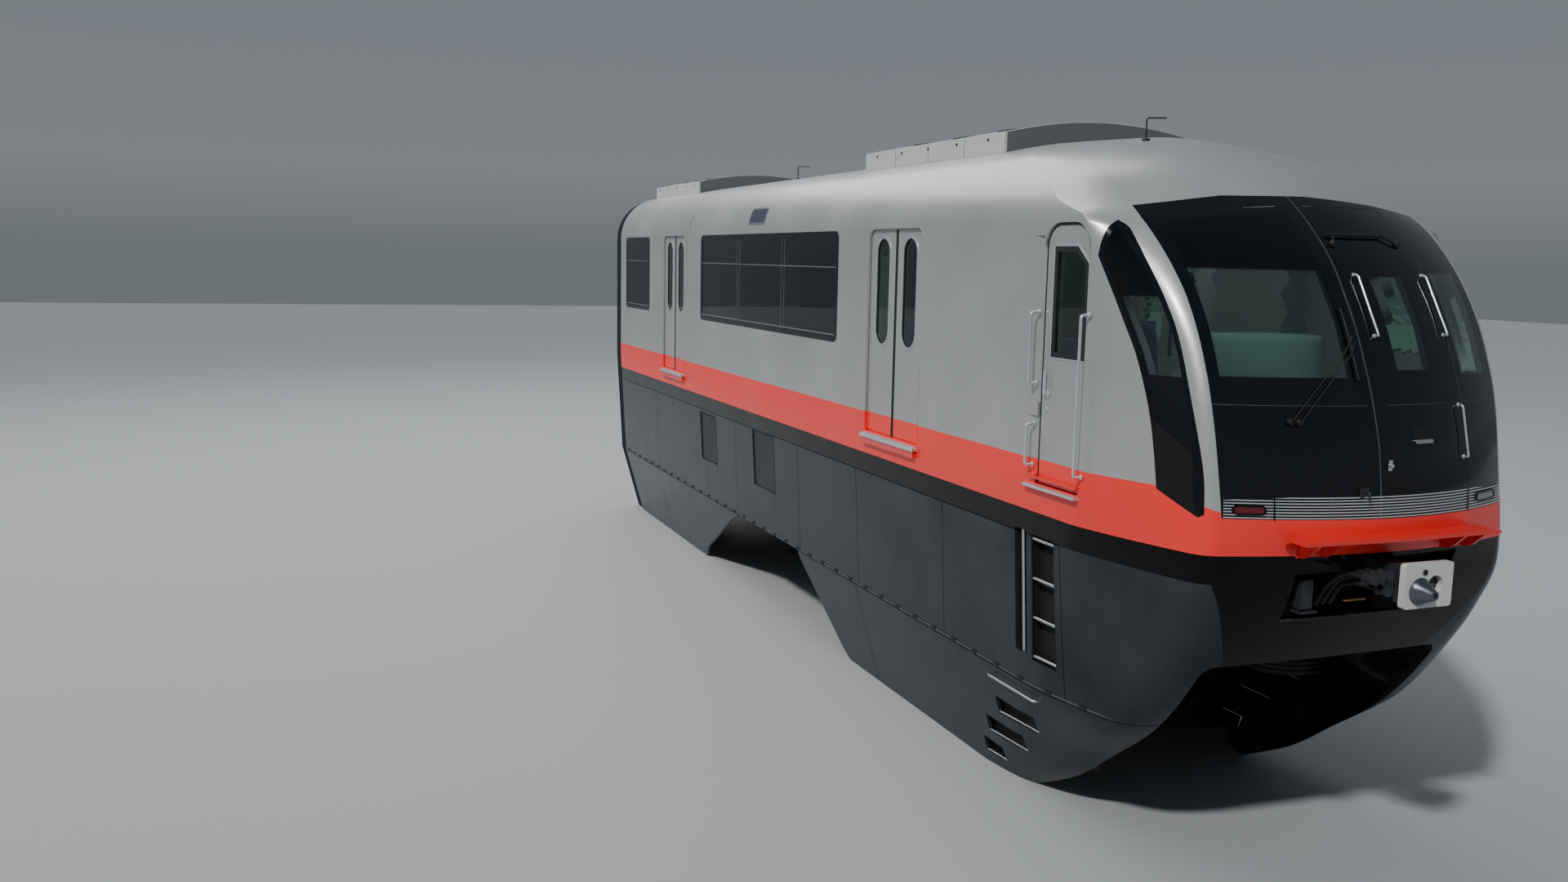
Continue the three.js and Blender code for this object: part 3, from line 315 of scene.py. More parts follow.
def nose_at(z):
    z = min(max(z, PLAN[0, 0]), PLAN[-1, 0])
    k = min(int(np.searchsorted(PLAN[:, 0], z, "right")) - 1, len(PLAN) - 2)
    step = PLAN[k + 1, 0] - PLAN[k, 0]
    t = (z - PLAN[k, 0]) / step
    low, high = PLAN[k, 1:], PLAN[k + 1, 1:]
    return ((2 * t ** 3 - 3 * t ** 2 + 1) * low + (t ** 3 - 2 * t ** 2 + t) * step * SLOPES[k]
            + (3 * t ** 2 - 2 * t ** 3) * high + (t ** 3 - t ** 2) * step * SLOPES[k + 1])


print("sections", len(NOSE_PLAN))

# %% Rings round the car
TAPER_STEPS, ROUND_STEPS, FRONT_STEPS = 18, 12, 12


def plan_ring(z, set_in):
    """Points round the car at one height, set in by a distance, anticlockwise from above."""
    taper_x, corner_x, corner_y, rounding, tip = nose_at(z)
    half = half_width(z) - set_in
    start, knee_x, knee_y = taper_x - 0.15 * set_in, corner_x - set_in, corner_y - 0.93 * set_in
    tip = tip - set_in
    turn = max(rounding - 0.4 * set_in, 0.02)

    def taper(x):
        return half - (half - knee_y) * ((x - start) / (knee_x - start)) ** TAPER_POWER

    def front(y):
        return tip - (tip - knee_x) * (y / knee_y) ** 2

    points = [(REAR_X, half)]
    for i in range(TAPER_STEPS):
        x = start + (knee_x - turn - start) * i / TAPER_STEPS
        points.append((x, taper(x)))
    first, last = (knee_x - turn, taper(knee_x - turn)), (front(knee_y - turn), knee_y - turn)
    for i in range(ROUND_STEPS + 1):
        t = i / ROUND_STEPS
        points.append(tuple((1 - t) ** 2 * a + 2 * t * (1 - t) * b + t * t * c
                            for a, b, c in zip(first, (knee_x, knee_y), last)))
    for i in range(1, FRONT_STEPS):
        y = (knee_y - turn) * (1 - i / FRONT_STEPS)
        points.append((front(y), y))
    return [(x, -y) for x, y in points] + [(tip, 0.0)] + points[::-1]


def heights_between(low, high, step):
    count = max(1, round((high - low) / step))
    return [low + (high - low) * i / count for i in range(count + 1)]


UPPER = (heights_between(SILL_Z, 2.915, 0.06) + [shoulder_z(a) for a in range(3, 76, 4)]
         + [crown_z(a / 2) for a in range(28, 3, -2)])
LOWER = heights_between(SKIRT_BOTTOM_Z, LEDGE_Z, 0.07) + heights_between(LEDGE_Z, SILL_Z, 0.06)[1:]
print("upper rows", len(UPPER), "lower rows", len(LOWER))

# %% [markdown]
# Closed meshes are made from rings, and doors, windows and seams are cut with Blender's boolean
# modifier. A cut leaves long thin triangles, which would shade badly, so each cut panel takes its
# normals from the uncut form below it. That is what keeps the highlight straight past a window.

# %% Mesh helpers
PIECES = bpy.context.scene.collection


def mesh_object(vertices, faces):
    mesh = bpy.data.meshes.new("part")
    mesh.from_pydata([tuple(v) for v in vertices], [], faces)
    mesh.validate()
    made = bpy.data.objects.new("part", mesh)
    PIECES.objects.link(made)
    return made


def quads(rings, count):
    """Faces of a tube through rings of `count` points."""
    return [(k * count + i, k * count + (i + 1) % count, (k + 1) * count + (i + 1) % count,
             (k + 1) * count + i) for k in range(rings - 1) for i in range(count)]


def loft(rings):
    """A closed form through rings that have the same number of points."""
    count, last = len(rings[0]), (len(rings) - 1) * len(rings[0])
    faces = [tuple(range(count))[::-1], tuple(range(last, last + count))] + quads(len(rings), count)
    return mesh_object([p for ring in rings for p in ring], faces)


def ring_loft(heights, set_in):
    """The form of the body between two heights, set in by a distance."""
    return loft([[(x, y, z) for x, y in plan_ring(z, set_in)] for z in heights])


def face_outwards(made):
    work = bmesh.new()
    work.from_mesh(made.data)
    bmesh.ops.recalc_face_normals(work, faces=work.faces)
    work.to_mesh(made.data)
    work.free()
    return made


def prism(outline, low, high, along):
    """A closed prism; the outline is given in the two other axes, in the order x, y, z."""
    def place(a, b, c):
        return {"x": (c, a, b), "y": (a, c, b), "z": (a, b, c)}[along]
    count = len(outline)
    caps = [tuple(range(count)), tuple(range(count, 2 * count))]
    vertices = [place(a, b, c) for c in (low, high) for a, b in outline]
    return face_outwards(mesh_object(vertices, caps + quads(2, count)))


def rectangle(a0, a1, b0, b1):
    return [(a0, b0), (a1, b0), (a1, b1), (a0, b1)]


def box(low, high):
    return prism(rectangle(low[0], high[0], low[1], high[1]), low[2], high[2], "z")


print("helpers collect their meshes in", PIECES.name)


# %% Cutting, copying and mirroring
def boolean(target, operation, *tools):
    """Cuts, joins or keeps what tools share with the target, and removes the tools."""
    for tool in tools:
        step = target.modifiers.new("cut", "BOOLEAN")
        step.operation = operation
        step.object = tool
        step.solver = "MANIFOLD"
    bpy.context.view_layer.update()
    evaluated = target.evaluated_get(bpy.context.evaluated_depsgraph_get())
    result = bpy.data.meshes.new_from_object(evaluated)
    target.modifiers.clear()
    old = target.data
    target.data = result
    bpy.data.meshes.remove(old)
    for tool in tools:
        bpy.data.objects.remove(tool)
    return target


def copy_of(source):
    made = source.copy()
    made.data = source.data.copy()
    PIECES.objects.link(made)
    return made


def mirrored(source):
    """The same piece on the other side of the car."""
    made = copy_of(source)
    made.data.transform(Matrix.Scale(-1, 4, (0, 1, 0)))
    made.data.flip_normals()
    return made


print("solver for every cut: MANIFOLD")


# %% Outlines
def rounded(a0, a1, b0, b1, radius, steps=6, square_foot=False):
    """Outline of a rectangle with round corners, anticlockwise."""
    corners = [(a1 - radius, b1 - radius, 0), (a0 + radius, b1 - radius, 90),
               (a0 + radius, b0 + radius, 180), (a1 - radius, b0 + radius, 270)]
    points = []
    for k, (a, b, turn) in enumerate(corners):
        if square_foot and k > 1:
            points.append((a0, b0) if k == 2 else (a1, b0))
            continue
        for i in range(steps + 1):
            angle = math.radians(turn + 90 * i / steps)
            points.append((a + radius * math.cos(angle), b + radius * math.sin(angle)))
    return points


def inset(outline, distance):
    """The outline moved inwards; a negative distance moves it outwards."""
    points = [Vector(p) for p in outline]
    area = sum(a.x * b.y - b.x * a.y for a, b in zip(points, points[1:] + points[:1]))
    side = 1 if area > 0 else -1
    result = []
    for i, point in enumerate(points):
        before, after = points[i - 1], points[(i + 1) % len(points)]
        first, second = (point - before).normalized(), (after - point).normalized()
        mean = (Vector((-first.y, first.x)) + Vector((-second.y, second.x))) * side
        result.append(tuple(point + mean * (2 * distance / mean.length_squared)))
    return result


print("corners of a rounded outline", len(rounded(0, 1, 0, 1, 0.1)))


# %% Smooth normals from the uncut form
class SmoothForm:
    """The uncut skin with its exact normals, to be read by the panels cut from it."""

    def __init__(self, heights):
        grid = np.array([[(x, y, z) for x, y in plan_ring(z, 0.0)] for z in heights])
        along = np.empty_like(grid)
        along[:, 1:-1] = grid[:, 2:] - grid[:, :-2]
        along[:, 0], along[:, -1] = grid[:, 1] - grid[:, 0], grid[:, -1] - grid[:, -2]
        normals = np.cross(along, np.gradient(grid, axis=0))
        normals /= np.maximum(np.linalg.norm(normals, axis=2, keepdims=True), 1e-12)
        rows, count = grid.shape[:2]
        self.normals = [Vector(n) for n in normals.reshape(-1, 3)]
        self.points = [Vector(p) for p in grid.reshape(-1, 3)]
        self.faces = [(k * count + i, k * count + i + 1, (k + 1) * count + i + 1, (k + 1) * count + i)
                      for k in range(rows - 1) for i in range(count - 1)]
        self.tree = BVHTree.FromPolygons(self.points, self.faces)

    def normal_at(self, point, reach):
        """The normal at the nearest place on the form, or None where that is beyond reach."""
        found, _, face, _ = self.tree.find_nearest(point, reach)
        if found is None:
            return None
        a, b, c, d = (self.points[corner] for corner in self.faces[face])
        rise = min(max((found.z - a.z) / max(d.z - a.z, 1e-9), 0), 1)
        left, span = a.lerp(d, rise), b.lerp(c, rise) - a.lerp(d, rise)
        across = min(max((found - left).dot(span) / max(span.length_squared, 1e-12), 0), 1)
        low_left, low_right, top_right, top_left = (self.normals[corner] for corner in self.faces[face])
        return low_left.lerp(low_right, across).lerp(top_left.lerp(top_right, across), rise).normalized()


def shade_like(made, form, reach):
    """Gives the outer faces of a cut panel the normals of the uncut form."""
    mesh = made.data
    mesh.polygons.foreach_set("use_smooth", [True] * len(mesh.polygons))
    known = {}
    loops = [None] * len(mesh.loops)
    for polygon in mesh.polygons:
        flat = polygon.normal.copy()
        for index in polygon.loop_indices:
            corner = mesh.loops[index].vertex_index
            if corner not in known:
                known[corner] = form.normal_at(mesh.vertices[corner].co, reach)
            smooth = known[corner]
            loops[index] = smooth if smooth is not None and smooth.dot(flat) > 0.85 else flat
    mesh.normals_split_custom_set(loops)


print("normals are read from", SmoothForm.__name__)

# %% [markdown]
# Paint is what a train mostly is. The real car has a base coat with metal flakes under clear lacquer.
# A flat grey would look like plastic, so the paint here mixes a half metallic base with a coat, and
# a very slow relief makes the reflections waver as they do on welded sheet. Stripes are painted by
# height in the material, because on the real car they are sprayed or stuck on, not built.

# %% Material helpers
def started(name):
    """A new material, its node tree, its shader, and the place on the object in metres."""
    material = bpy.data.materials.new(name)
    material.use_nodes = True
    tree = material.node_tree
    return material, tree, tree.nodes["Principled BSDF"], add(tree, COORDINATES).outputs["Object"]


def look(tree, shader, **values):
    """Fills inputs of the shader; an underscore in a name stands for a space."""
    for key, value in values.items():
        put(tree, shader.inputs[key.replace("_", " ")], value)


def patches(tree, place, scale, low, high, detail=2.0, cut=0.3):
    """A value that wanders from low to high in soft patches, about `scale` of them to the metre."""
    noise = add(tree, NOISE, {"Vector": place, "Scale": scale, "Detail": detail})
    return add(tree, RANGE, {"Value": noise, "From Min": cut, "From Max": 1 - cut,
                             "To Min": low, "To Max": high})


def relief(tree, shader, place, scale, detail, depth):
    """Soft relief that is `depth` metres deep."""
    height = add(tree, NOISE, {"Vector": place, "Scale": scale, "Detail": detail})
    put(tree, shader.inputs["Normal"],
        add(tree, "ShaderNodeBump", {"Height": height, "Distance": depth, "Strength": 1.0}))


def finish(name, colour, roughness, spread=0.05, scale=6.0, grain=0.0, grain_scale=300.0,
           stretch=(1.0, 1.0, 1.0), **values):
    """A plain finish whose roughness varies in patches, with an optional fine grain in relief."""
    material, tree, shader, place = started(name)
    look(tree, shader, Base_Color=linear(colour),
         Roughness=patches(tree, place, scale, roughness - spread, roughness + spread), **values)
    if grain:
        spot = add(tree, "ShaderNodeMapping", {"Vector": place, "Scale": stretch})
        relief(tree, shader, spot, grain_scale, 2.0, grain)
    return material


print("materials so far", len(bpy.data.materials))

# %% Paints with stripes
STRIPE_SIDE, STRIPE_FRONT = 1.30, 1.155
STRIPE_DROP_X = (7.15, 7.45)
BAND_LOW = 0.74
CHIN_FIELD_X, CHIN_FIELD_LEAN, CHIN_FIELD_HALF = 6.6, 0.528, 0.775
LINING_COLOUR = "#C9CBC7"


def body_paint(name, silver, red_paint):
    """Silver above, a red stripe at the floor that steps down to a narrow one round the nose.

    Faces that look into the rooms get the colour of the lining instead."""
    material, tree, shader, place = started(name)
    axis = add(tree, SPLIT, {"Vector": place}).outputs
    facing = add(tree, SPLIT, {"Vector": add(tree, COORDINATES).outputs["Normal"]}).outputs
    inward = []
    for way, least in (("X", -6.2), ("Y", -0.5)):
        product = add(tree, MATH, {0: facing[way], 1: axis[way]}, operation="MULTIPLY")
        inward.append(add(tree, MATH, {0: product, 1: least}, operation="LESS_THAN"))
    down = add(tree, MATH, {0: facing["Z"], 1: -0.3}, operation="LESS_THAN")
    high = add(tree, MATH, {0: axis["Z"], 1: 2.5}, operation="GREATER_THAN")
    ceiling = add(tree, MATH, {0: down, 1: high}, operation="MULTIPLY")
    walls = add(tree, MATH, {0: inward[0], 1: inward[1]}, operation="MAXIMUM")
    lined = add(tree, MATH, {0: ceiling, 1: walls}, operation="MAXIMUM")
    edge = add(tree, RANGE, {"Value": axis["X"], "From Min": STRIPE_DROP_X[0], "From Max": STRIPE_DROP_X[1],
                             "To Min": STRIPE_SIDE, "To Max": STRIPE_FRONT})
    red = add(tree, MATH, {0: axis["Z"], 1: edge}, operation="LESS_THAN")
    # Flakes are finer than 0.1 mm; at 1,400 to the metre they are drawn coarser so that they show.
    flakes = patches(tree, place, 1400.0, 0.0, 1.0)
    dust = patches(tree, place, 0.9, 0.0, 1.0, 4.0, 0.35)
    both = add(tree, MATH, {0: flakes, 1: dust}, operation="ADD")
    share = add(tree, MATH, {0: both, 1: 0.5}, operation="MULTIPLY")
    dull, bright = (tuple(min(1.0, c * gain) for c in linear(silver)[:3]) + (1.0,) for gain in (0.90, 1.12))
    base = add(tree, MIX, {"Factor": share, "A": dull, "B": bright}, data_type="RGBA")
    painted = add(tree, MIX, {"Factor": red, "A": base, "B": linear(red_paint)}, data_type="RGBA")
    colour = add(tree, MIX, {"Factor": lined, "A": painted, "B": linear(LINING_COLOUR)}, data_type="RGBA")
    plain = add(tree, MATH, {0: red, 1: lined}, operation="MAXIMUM")
    look(tree, shader, Base_Color=colour, Coat_Roughness=0.20,
         Metallic=add(tree, RANGE, {"Value": plain, "To Min": 0.45, "To Max": 0.0}),
         Roughness=add(tree, RANGE, {"Value": dust, "To Min": 0.34, "To Max": 0.42}),
         Coat_Weight=add(tree, RANGE, {"Value": red, "To Min": 0.7, "To Max": 0.2}))
    relief(tree, shader, place, 1.1, 1.0, 0.010)
    return material


def skirt_paint(name, dark, light, black_paint):
    """Dark metallic grey, with a black band under the sill and a black field in the chin."""
    material, tree, shader, place = started(name)
    axis = add(tree, SPLIT, {"Vector": place}).outputs
    band = add(tree, MATH, {0: axis["Z"], 1: BAND_LOW}, operation="GREATER_THAN")
    half = add(tree, MATH, {0: axis["Z"], 1: CHIN_FIELD_LEAN, 2: CHIN_FIELD_HALF}, operation="MULTIPLY_ADD")
    across = add(tree, MATH, {0: axis["Y"]}, operation="ABSOLUTE")
    inside = add(tree, MATH, {0: across, 1: half}, operation="LESS_THAN")
    ahead = add(tree, MATH, {0: axis["X"], 1: CHIN_FIELD_X}, operation="GREATER_THAN")
    field = add(tree, MATH, {0: inside, 1: ahead}, operation="MULTIPLY")
    black = add(tree, MATH, {0: band, 1: field}, operation="MAXIMUM")
    dust = patches(tree, place, 1.3, 0.0, 1.0, 4.0, 0.35)
    grey = add(tree, MIX, {"Factor": dust, "A": linear(dark), "B": linear(light)}, data_type="RGBA")
    gloss = add(tree, RANGE, {"Value": dust, "To Min": 0.24, "To Max": 0.31})
    look(tree, shader, Specular_IOR_Level=0.18,
         Base_Color=add(tree, MIX, {"Factor": black, "A": grey, "B": linear(black_paint)}, data_type="RGBA"),
         Metallic=add(tree, RANGE, {"Value": black, "To Min": 0.5, "To Max": 0.0}),
         Roughness=add(tree, MATH, {0: black, 1: -0.16, 2: gloss}, operation="MULTIPLY_ADD"))
    relief(tree, shader, place, 1.4, 1.0, 0.008)
    return material


# Sprayed metal flake under lacquer: bright where it faces the sky, grey beside it, with a soft gleam.
SILVER = body_paint("silver metallic paint with red stripe", "#AEAFAD", "#F4322B")
# The same kind of paint in near black: it stays dark and shows only a weak, broad gleam.
SKIRT = skirt_paint("dark grey metallic paint with black band", "#303337", "#3F4246", "#08090B")
print("paints", SILVER.name, "and", SKIRT.name)

# %% [markdown]
# The windows are tinted glass. Real tint is in the glass itself, so here too the colour comes from
# light that passes through. The front glass is clear only in the middle: it is printed black along its
# foot and tinted along its top against the sun, and the material sets both by height.

# %% Glass
GLASS_IOR, GLASS_WAVE = 1.52, 0.0003


def tinted_glass(name, colour):
    material, tree, shader, place = started(name)
    look(tree, shader, Base_Color=linear(colour), Transmission_Weight=1.0, IOR=GLASS_IOR,
         Roughness=patches(tree, place, 3.0, 0.0, 0.02))
    relief(tree, shader, place, 1.6, 0.0, GLASS_WAVE)
    return material


def screen_glass(name, black_below, tint_above, clear_colour):
    material, tree, shader, place = started(name)
    height = add(tree, SPLIT, {"Vector": place}).outputs["Z"]
    black = add(tree, MATH, {0: height, 1: black_below}, operation="LESS_THAN")
    tint = add(tree, RANGE, {"Value": height, "From Min": tint_above, "From Max": tint_above + 0.012})
    clear = add(tree, MIX, {"Factor": tint, "A": linear(clear_colour), "B": linear("#14191D")},
                data_type="RGBA")
    look(tree, shader, IOR=GLASS_IOR, Roughness=patches(tree, place, 3.0, 0.01, 0.04),
         Base_Color=add(tree, MIX, {"Factor": black, "A": clear, "B": linear("#0A0B0E")}, data_type="RGBA"),
         Transmission_Weight=add(tree, RANGE, {"Value": black, "To Min": 1.0, "To Max": 0.0}))
    relief(tree, shader, place, 1.6, 0.0, GLASS_WAVE)
    return material


GLASS = tinted_glass("grey-green tinted glass", "#2C3A35")
DOOR_GLASS = tinted_glass("green tinted glass", "#7FAE97")
FRONT_GLASS = screen_glass("laminated windscreen glass with tinted top", 1.995, 2.640, "#C3D8D1")
CORNER_GLASS = screen_glass("corner glass with black foot", 1.980, 2.460, "#C2D0CD")
print("glass", [glass.name for glass in (GLASS, DOOR_GLASS, FRONT_GLASS, CORNER_GLASS)])

# %% [markdown]
# The other finishes are plain, and what tells them apart is how sharply they mirror the studio. The
# grain of real rubber, cloth, lining or cast steel is mostly finer than 2 mm. Here it is from 1.5 mm to
# 30 mm wide, as coarse as it needs to be to show on a whole car.

# %% Plain finishes
# Gloss lacquer mirrors the studio like dark glass; enamel does so more softly.
BLACK = finish("black gloss lacquer", "#08090C", 0.10, 0.03, 3.0)
RED = finish("red gloss enamel", "#DE2A22", 0.30, 0.06, 9.0, Coat_Weight=0.6, Coat_Roughness=0.08)
# Rubber is dull and never quite black, and a tyre is duller still. Bellows cloth has a blue cast.
RUBBER = finish("black weather rubber", "#141517", 0.62, 0.08, 12.0, 0.0004, 260.0)
TYRE = finish("tyre rubber", "#161719", 0.72, 0.08, 8.0, 0.0008, 180.0)
BELLOWS = finish("coated bellows fabric", "#1B1D2A", 0.66, 0.08, 7.0, 0.0008, 350.0)
# Brushing breaks the gleam of steel into fine level lines; anodised and polished metal gleam evenly.
STEEL = finish("brushed stainless steel", "#C9CACB", 0.30, 0.06, 5.0, 0.00025, 60.0, (1.0, 1.0, 14.0),
               Metallic=1.0)
ALUMINIUM = finish("clear anodised aluminium", "#D4D6D8", 0.28, 0.05, 6.0, Metallic=1.0)
BRIGHT = finish("bright polished aluminium", "#D6D9DB", 0.24, 0.05, 6.0, Metallic=0.7)
COUPLER_STEEL = finish("machined coupler steel", "#A9ABAC", 0.34, 0.08, 12.0, 0.0003, 120.0, Metallic=0.9)
DARK_STEEL = finish("dark machined steel", "#6B6D75", 0.30, 0.08, 14.0, 0.0003, 150.0, Metallic=0.9)
# Paint on sheet and castings shows a broad, weak light with the roughness of what lies below it.
CASING = finish("grey sheet metal paint", "#BBBCBA", 0.55, 0.06, 2.5, 0.001, 30.0)
# The casing's front is painted darker than its sides: painted shade on the face turned forward.
SHADED_CASING_FRONT = finish("dark grey casing front", "#5E5F63", 0.55, 0.06, 3.0)
PRIMER = finish("dark chassis paint", "#232528", 0.58, 0.12, 5.0, 0.0015, 40.0, Metallic=0.2)
CASTING = finish("painted cast steel", "#3A3D41", 0.50, 0.10, 6.0, 0.001, 160.0, Metallic=0.5)
PLATE_PAINT = finish("light grey coupler paint", "#C9C9C2", 0.38, 0.06, 9.0, Coat_Weight=0.3)
SAFETY_PAINT = finish("yellow safety enamel", "#8E6C1C", 0.38, 0.05, 9.0, Coat_Weight=0.4)
MESH_METAL = finish("painted wire mesh", "#56595D", 0.45, 0.08, 9.0, Metallic=0.4)
# Cloth has no gleam but a pale edge; moulded lining and floor vinyl are matt with a fine grain.
CLOTH = finish("blue seat moquette", "#2F4F80", 0.92, 0.05, 14.0, 0.0012, 520.0, Sheen_Weight=0.35)
LINING = finish("off-white moulded lining", LINING_COLOUR, 0.55, 0.06, 4.0, 0.0003, 400.0)
DARK_LINING = finish("dark grey moulded plastic", "#33373B", 0.55, 0.08, 5.0, 0.0004, 500.0)
CONSOLE = finish("pale teal moulded console", "#9DB6B4", 0.5, 0.05, 6.0)
FLOORING = finish("grey floor vinyl", "#6C7072", 0.48, 0.08, 6.0, 0.0002, 700.0)
# Lenses and the display are smooth on top with a deep colour below. Openings, recesses, bores and holes get
# painted shadow: near black and matt.
RED_LENS = finish("red lamp lens", "#5E0C10", 0.12, 0.03, 20.0, Coat_Weight=1.0)
CLEAR_LENS = finish("clear lamp lens", "#5E646A", 0.10, 0.03, 20.0, Coat_Weight=1.0)
DISPLAY_GLASS = finish("dark display glass", "#18253A", 0.14, 0.04, 9.0, Coat_Weight=1.0,
                       Coat_Roughness=0.03)
PAINTED_SHADOW = finish("shadow in an opening", "#08090A", 0.9, 0.03, 9.0)
DIFFUSER = finish("opal light cover", "#EDF1F2", 0.45, 0.04, 6.0, Emission_Color=linear("#EAF2F4"),
                  Emission_Strength=1.3)
print("materials", len(bpy.data.materials))

# %% [markdown]
# The shell is the outer form less the saloon and the cab, so that the windows look into real rooms.
# It is then split where the real panels meet: two side walls, the roof, the front mask and the rear
# end. The doorways and window openings go through a whole wall, as on the car.

# %% Openings, as outlines
DOOR_CENTRES = {"rear": -3.445, "front": 3.445}
DOOR_HALF, DOOR_TOP = 0.535, 2.930
POCKET_END, LEAF_OUT, LEAF_T, POCKET_GAP = 1.065, 1.465, 0.035, 0.007
CAB_DOOR_REAR, CAB_DOOR_FRONT, CAB_DOOR_TOP = 5.850, 6.385, 2.935
CAB_GLASS = [(5.985, 2.050), (6.345, 2.050), (6.345, 2.650), (6.225, 2.750), (5.985, 2.750)]
WINDOWS = {"rear": (-6.090, -4.730), "mid": (-2.200, 2.200)}
WINDOW_LOW, WINDOW_TOP, GLASS_T = 1.890, 2.910, 0.025
SCREEN_RIGHT = [(-1.115, 1.835), (-0.215, 1.835), (-0.215, 3.066), (-0.674, 3.030), (-1.140, 2.955),
                (-1.133, 2.700), (-1.120, 2.300)]
SCREEN_LEFT = [(0.690, 1.835), (1.115, 1.835), (1.120, 2.300), (1.133, 2.700), (1.140, 2.955),
               (0.690, 3.028)]
ESCAPE_DOOR = rounded(-0.145, 0.650, 1.165, 3.070, 0.060)
ESCAPE_GLASS = rectangle(0.070, 0.450, 2.005, 2.645)
QUARTER = [(6.450, 2.950), (6.440, 2.715), (6.651, 2.338), (6.798, 2.054), (6.922, 1.705), (7.009, 1.278),
           (7.300, 1.145), (7.328, 1.165), (7.294, 1.414), (7.208, 1.737), (7.046, 2.190), (6.925, 2.419),
           (6.769, 2.634), (6.556, 2.873)]
BLACK_FACE = [(-1.124, 1.150), (1.124, 1.150), (1.147, 1.833), (1.153, 2.200), (1.160, 2.488),
              (1.178, 2.755), (1.190, 2.963), (1.180, 3.040), (0.610, 3.097), (0.0, 3.134),
              (-0.610, 3.125), (-1.180, 3.048), (-1.190, 2.963), (-1.178, 2.755), (-1.160, 2.488),
              (-1.153, 2.200), (-1.147, 1.833)]
BLACK_REAR_X = 5.900
GANGWAY_HALF, GANGWAY_TOP, GANGWAY_R = 0.48, 3.05, 0.12
CEILING_Z, CAB_CEILING_Z, CAB_X, END_T = 3.250, 3.130, 5.200, 0.060
FAR, JOINT = 12.0, 0.0003


def smooth_outline(outline, steps=6, tension=0.5):
    """A rounder outline through the same corners, for panes with curved edges."""
    points = [Vector(p) for p in outline]
    count = len(points)
    result = []
    for i in range(count):
        before, here, there, after = (points[(i + k) % count] for k in (-1, 0, 1, 2))
        sharp_here = (here - before).normalized().dot((there - here).normalized()) < 0.88
        sharp_there = (there - here).normalized().dot((after - there).normalized()) < 0.88
        leave = (there - here) if sharp_here else (there - before) * tension
        arrive = (there - here) if sharp_there else (after - here) * tension
        for k in range(steps):
            t = k / steps
            result.append(tuple(here * (2 * t ** 3 - 3 * t ** 2 + 1) + leave * (t ** 3 - 2 * t ** 2 + t)
                                + there * (3 * t ** 2 - 2 * t ** 3) + arrive * (t ** 3 - t ** 2)))
    return result


print("openings on each side", len(DOOR_CENTRES) + len(WINDOWS) + 1)


# %% Shell
def slice_of(source, low, high):
    """The part of a form inside a box."""
    return boolean(copy_of(source), "INTERSECT", box(low, high))


inner_half = HALF_WIDTH - WALL_T
saloon_section = [(-inner_half, 0.8), (inner_half, 0.8), (inner_half, WALL_TOP), (1.25, 3.13),
                  (1.0, 3.23), (0.85, CEILING_Z), (-0.85, CEILING_Z), (-1.0, 3.23), (-1.25, 3.13),
                  (-inner_half, WALL_TOP)]
outer = ring_loft(UPPER, 0.0)
cab_room = ring_loft([0.74, SILL_Z, 1.15, 1.5, 1.85, 2.3, 2.7, WALL_TOP, CAB_CEILING_Z], WALL_T)
boolean(cab_room, "INTERSECT", box((CAB_X - 0.001, -FAR, 0), (FAR, FAR, FAR)))
shell = boolean(copy_of(outer), "DIFFERENCE", prism(saloon_section, REAR_X - 0.01, CAB_X, "x"), cab_room,
                box((CAB_X - 0.001, -inner_half, 0.74), (6.1, inner_half, FLOOR_TOP)))
skin = SmoothForm(UPPER)
print("shell", len(shell.data.polygons), "faces")


# %% Side panels
def skin_piece(name, made, material, form=skin, reach=0.012):
    """Names a piece cut from the skin and gives it the skin's normals, its finish and its body."""
    shade_like(made, form, reach)
    made.data.materials.clear()
    made.data.materials.append(material)
    made.name = name
    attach(made, BODY)
    return made


def panel(name, made, material, *nodes, form=skin):
    """A piece cut from the skin that stands for solids of the car."""
    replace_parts(skin_piece(name, made, material, form), *nodes)


front_of_end = REAR_X + END_T + JOINT
wall = slice_of(shell, (front_of_end, -FAR, SILL_Z), (MASK_X, 0, WALL_TOP))
cuts = [rounded(x - DOOR_HALF, x + DOOR_HALF, FLOOR_TOP, DOOR_TOP, 0.09, 8, True)
        for x in DOOR_CENTRES.values()]
cuts += [rounded(low, high, WINDOW_LOW, WINDOW_TOP, 0.06, 5) for low, high in WINDOWS.values()]
cuts.append(rounded(CAB_DOOR_REAR, CAB_DOOR_FRONT, FLOOR_TOP, CAB_DOOR_TOP, 0.17, 8, True))
rooms = [box((CAB_DOOR_REAR, -1.422, FLOOR_TOP), (CAB_DOOR_FRONT, -1.300, CAB_DOOR_TOP))]
rooms += [box((x - POCKET_END, -LEAF_OUT - POCKET_GAP, FLOOR_TOP),
              (x + POCKET_END, -LEAF_OUT + LEAF_T + POCKET_GAP, DOOR_TOP + 0.002))
          for x in DOOR_CENTRES.values()]
hand_space = [(5.715, -HALF_WIDTH), (CAB_DOOR_REAR + 0.001, -HALF_WIDTH + 0.026),
              (CAB_DOOR_REAR + 0.001, -2), (5.715, -2)]
rooms += [prism(hand_space, low, high, "z") for low, high in ((1.195, 1.605), (1.700, 2.850))]
boolean(wall, "DIFFERENCE", *[prism(cut, -FAR, 0, "y") for cut in cuts], *rooms)
wall_left = mirrored(wall)
panel("side_panel_right", wall, SILVER, "side_wall_right")
panel("side_panel_left", wall_left, SILVER, "side_wall_left")
print("side panels with", len(cuts), "openings each")

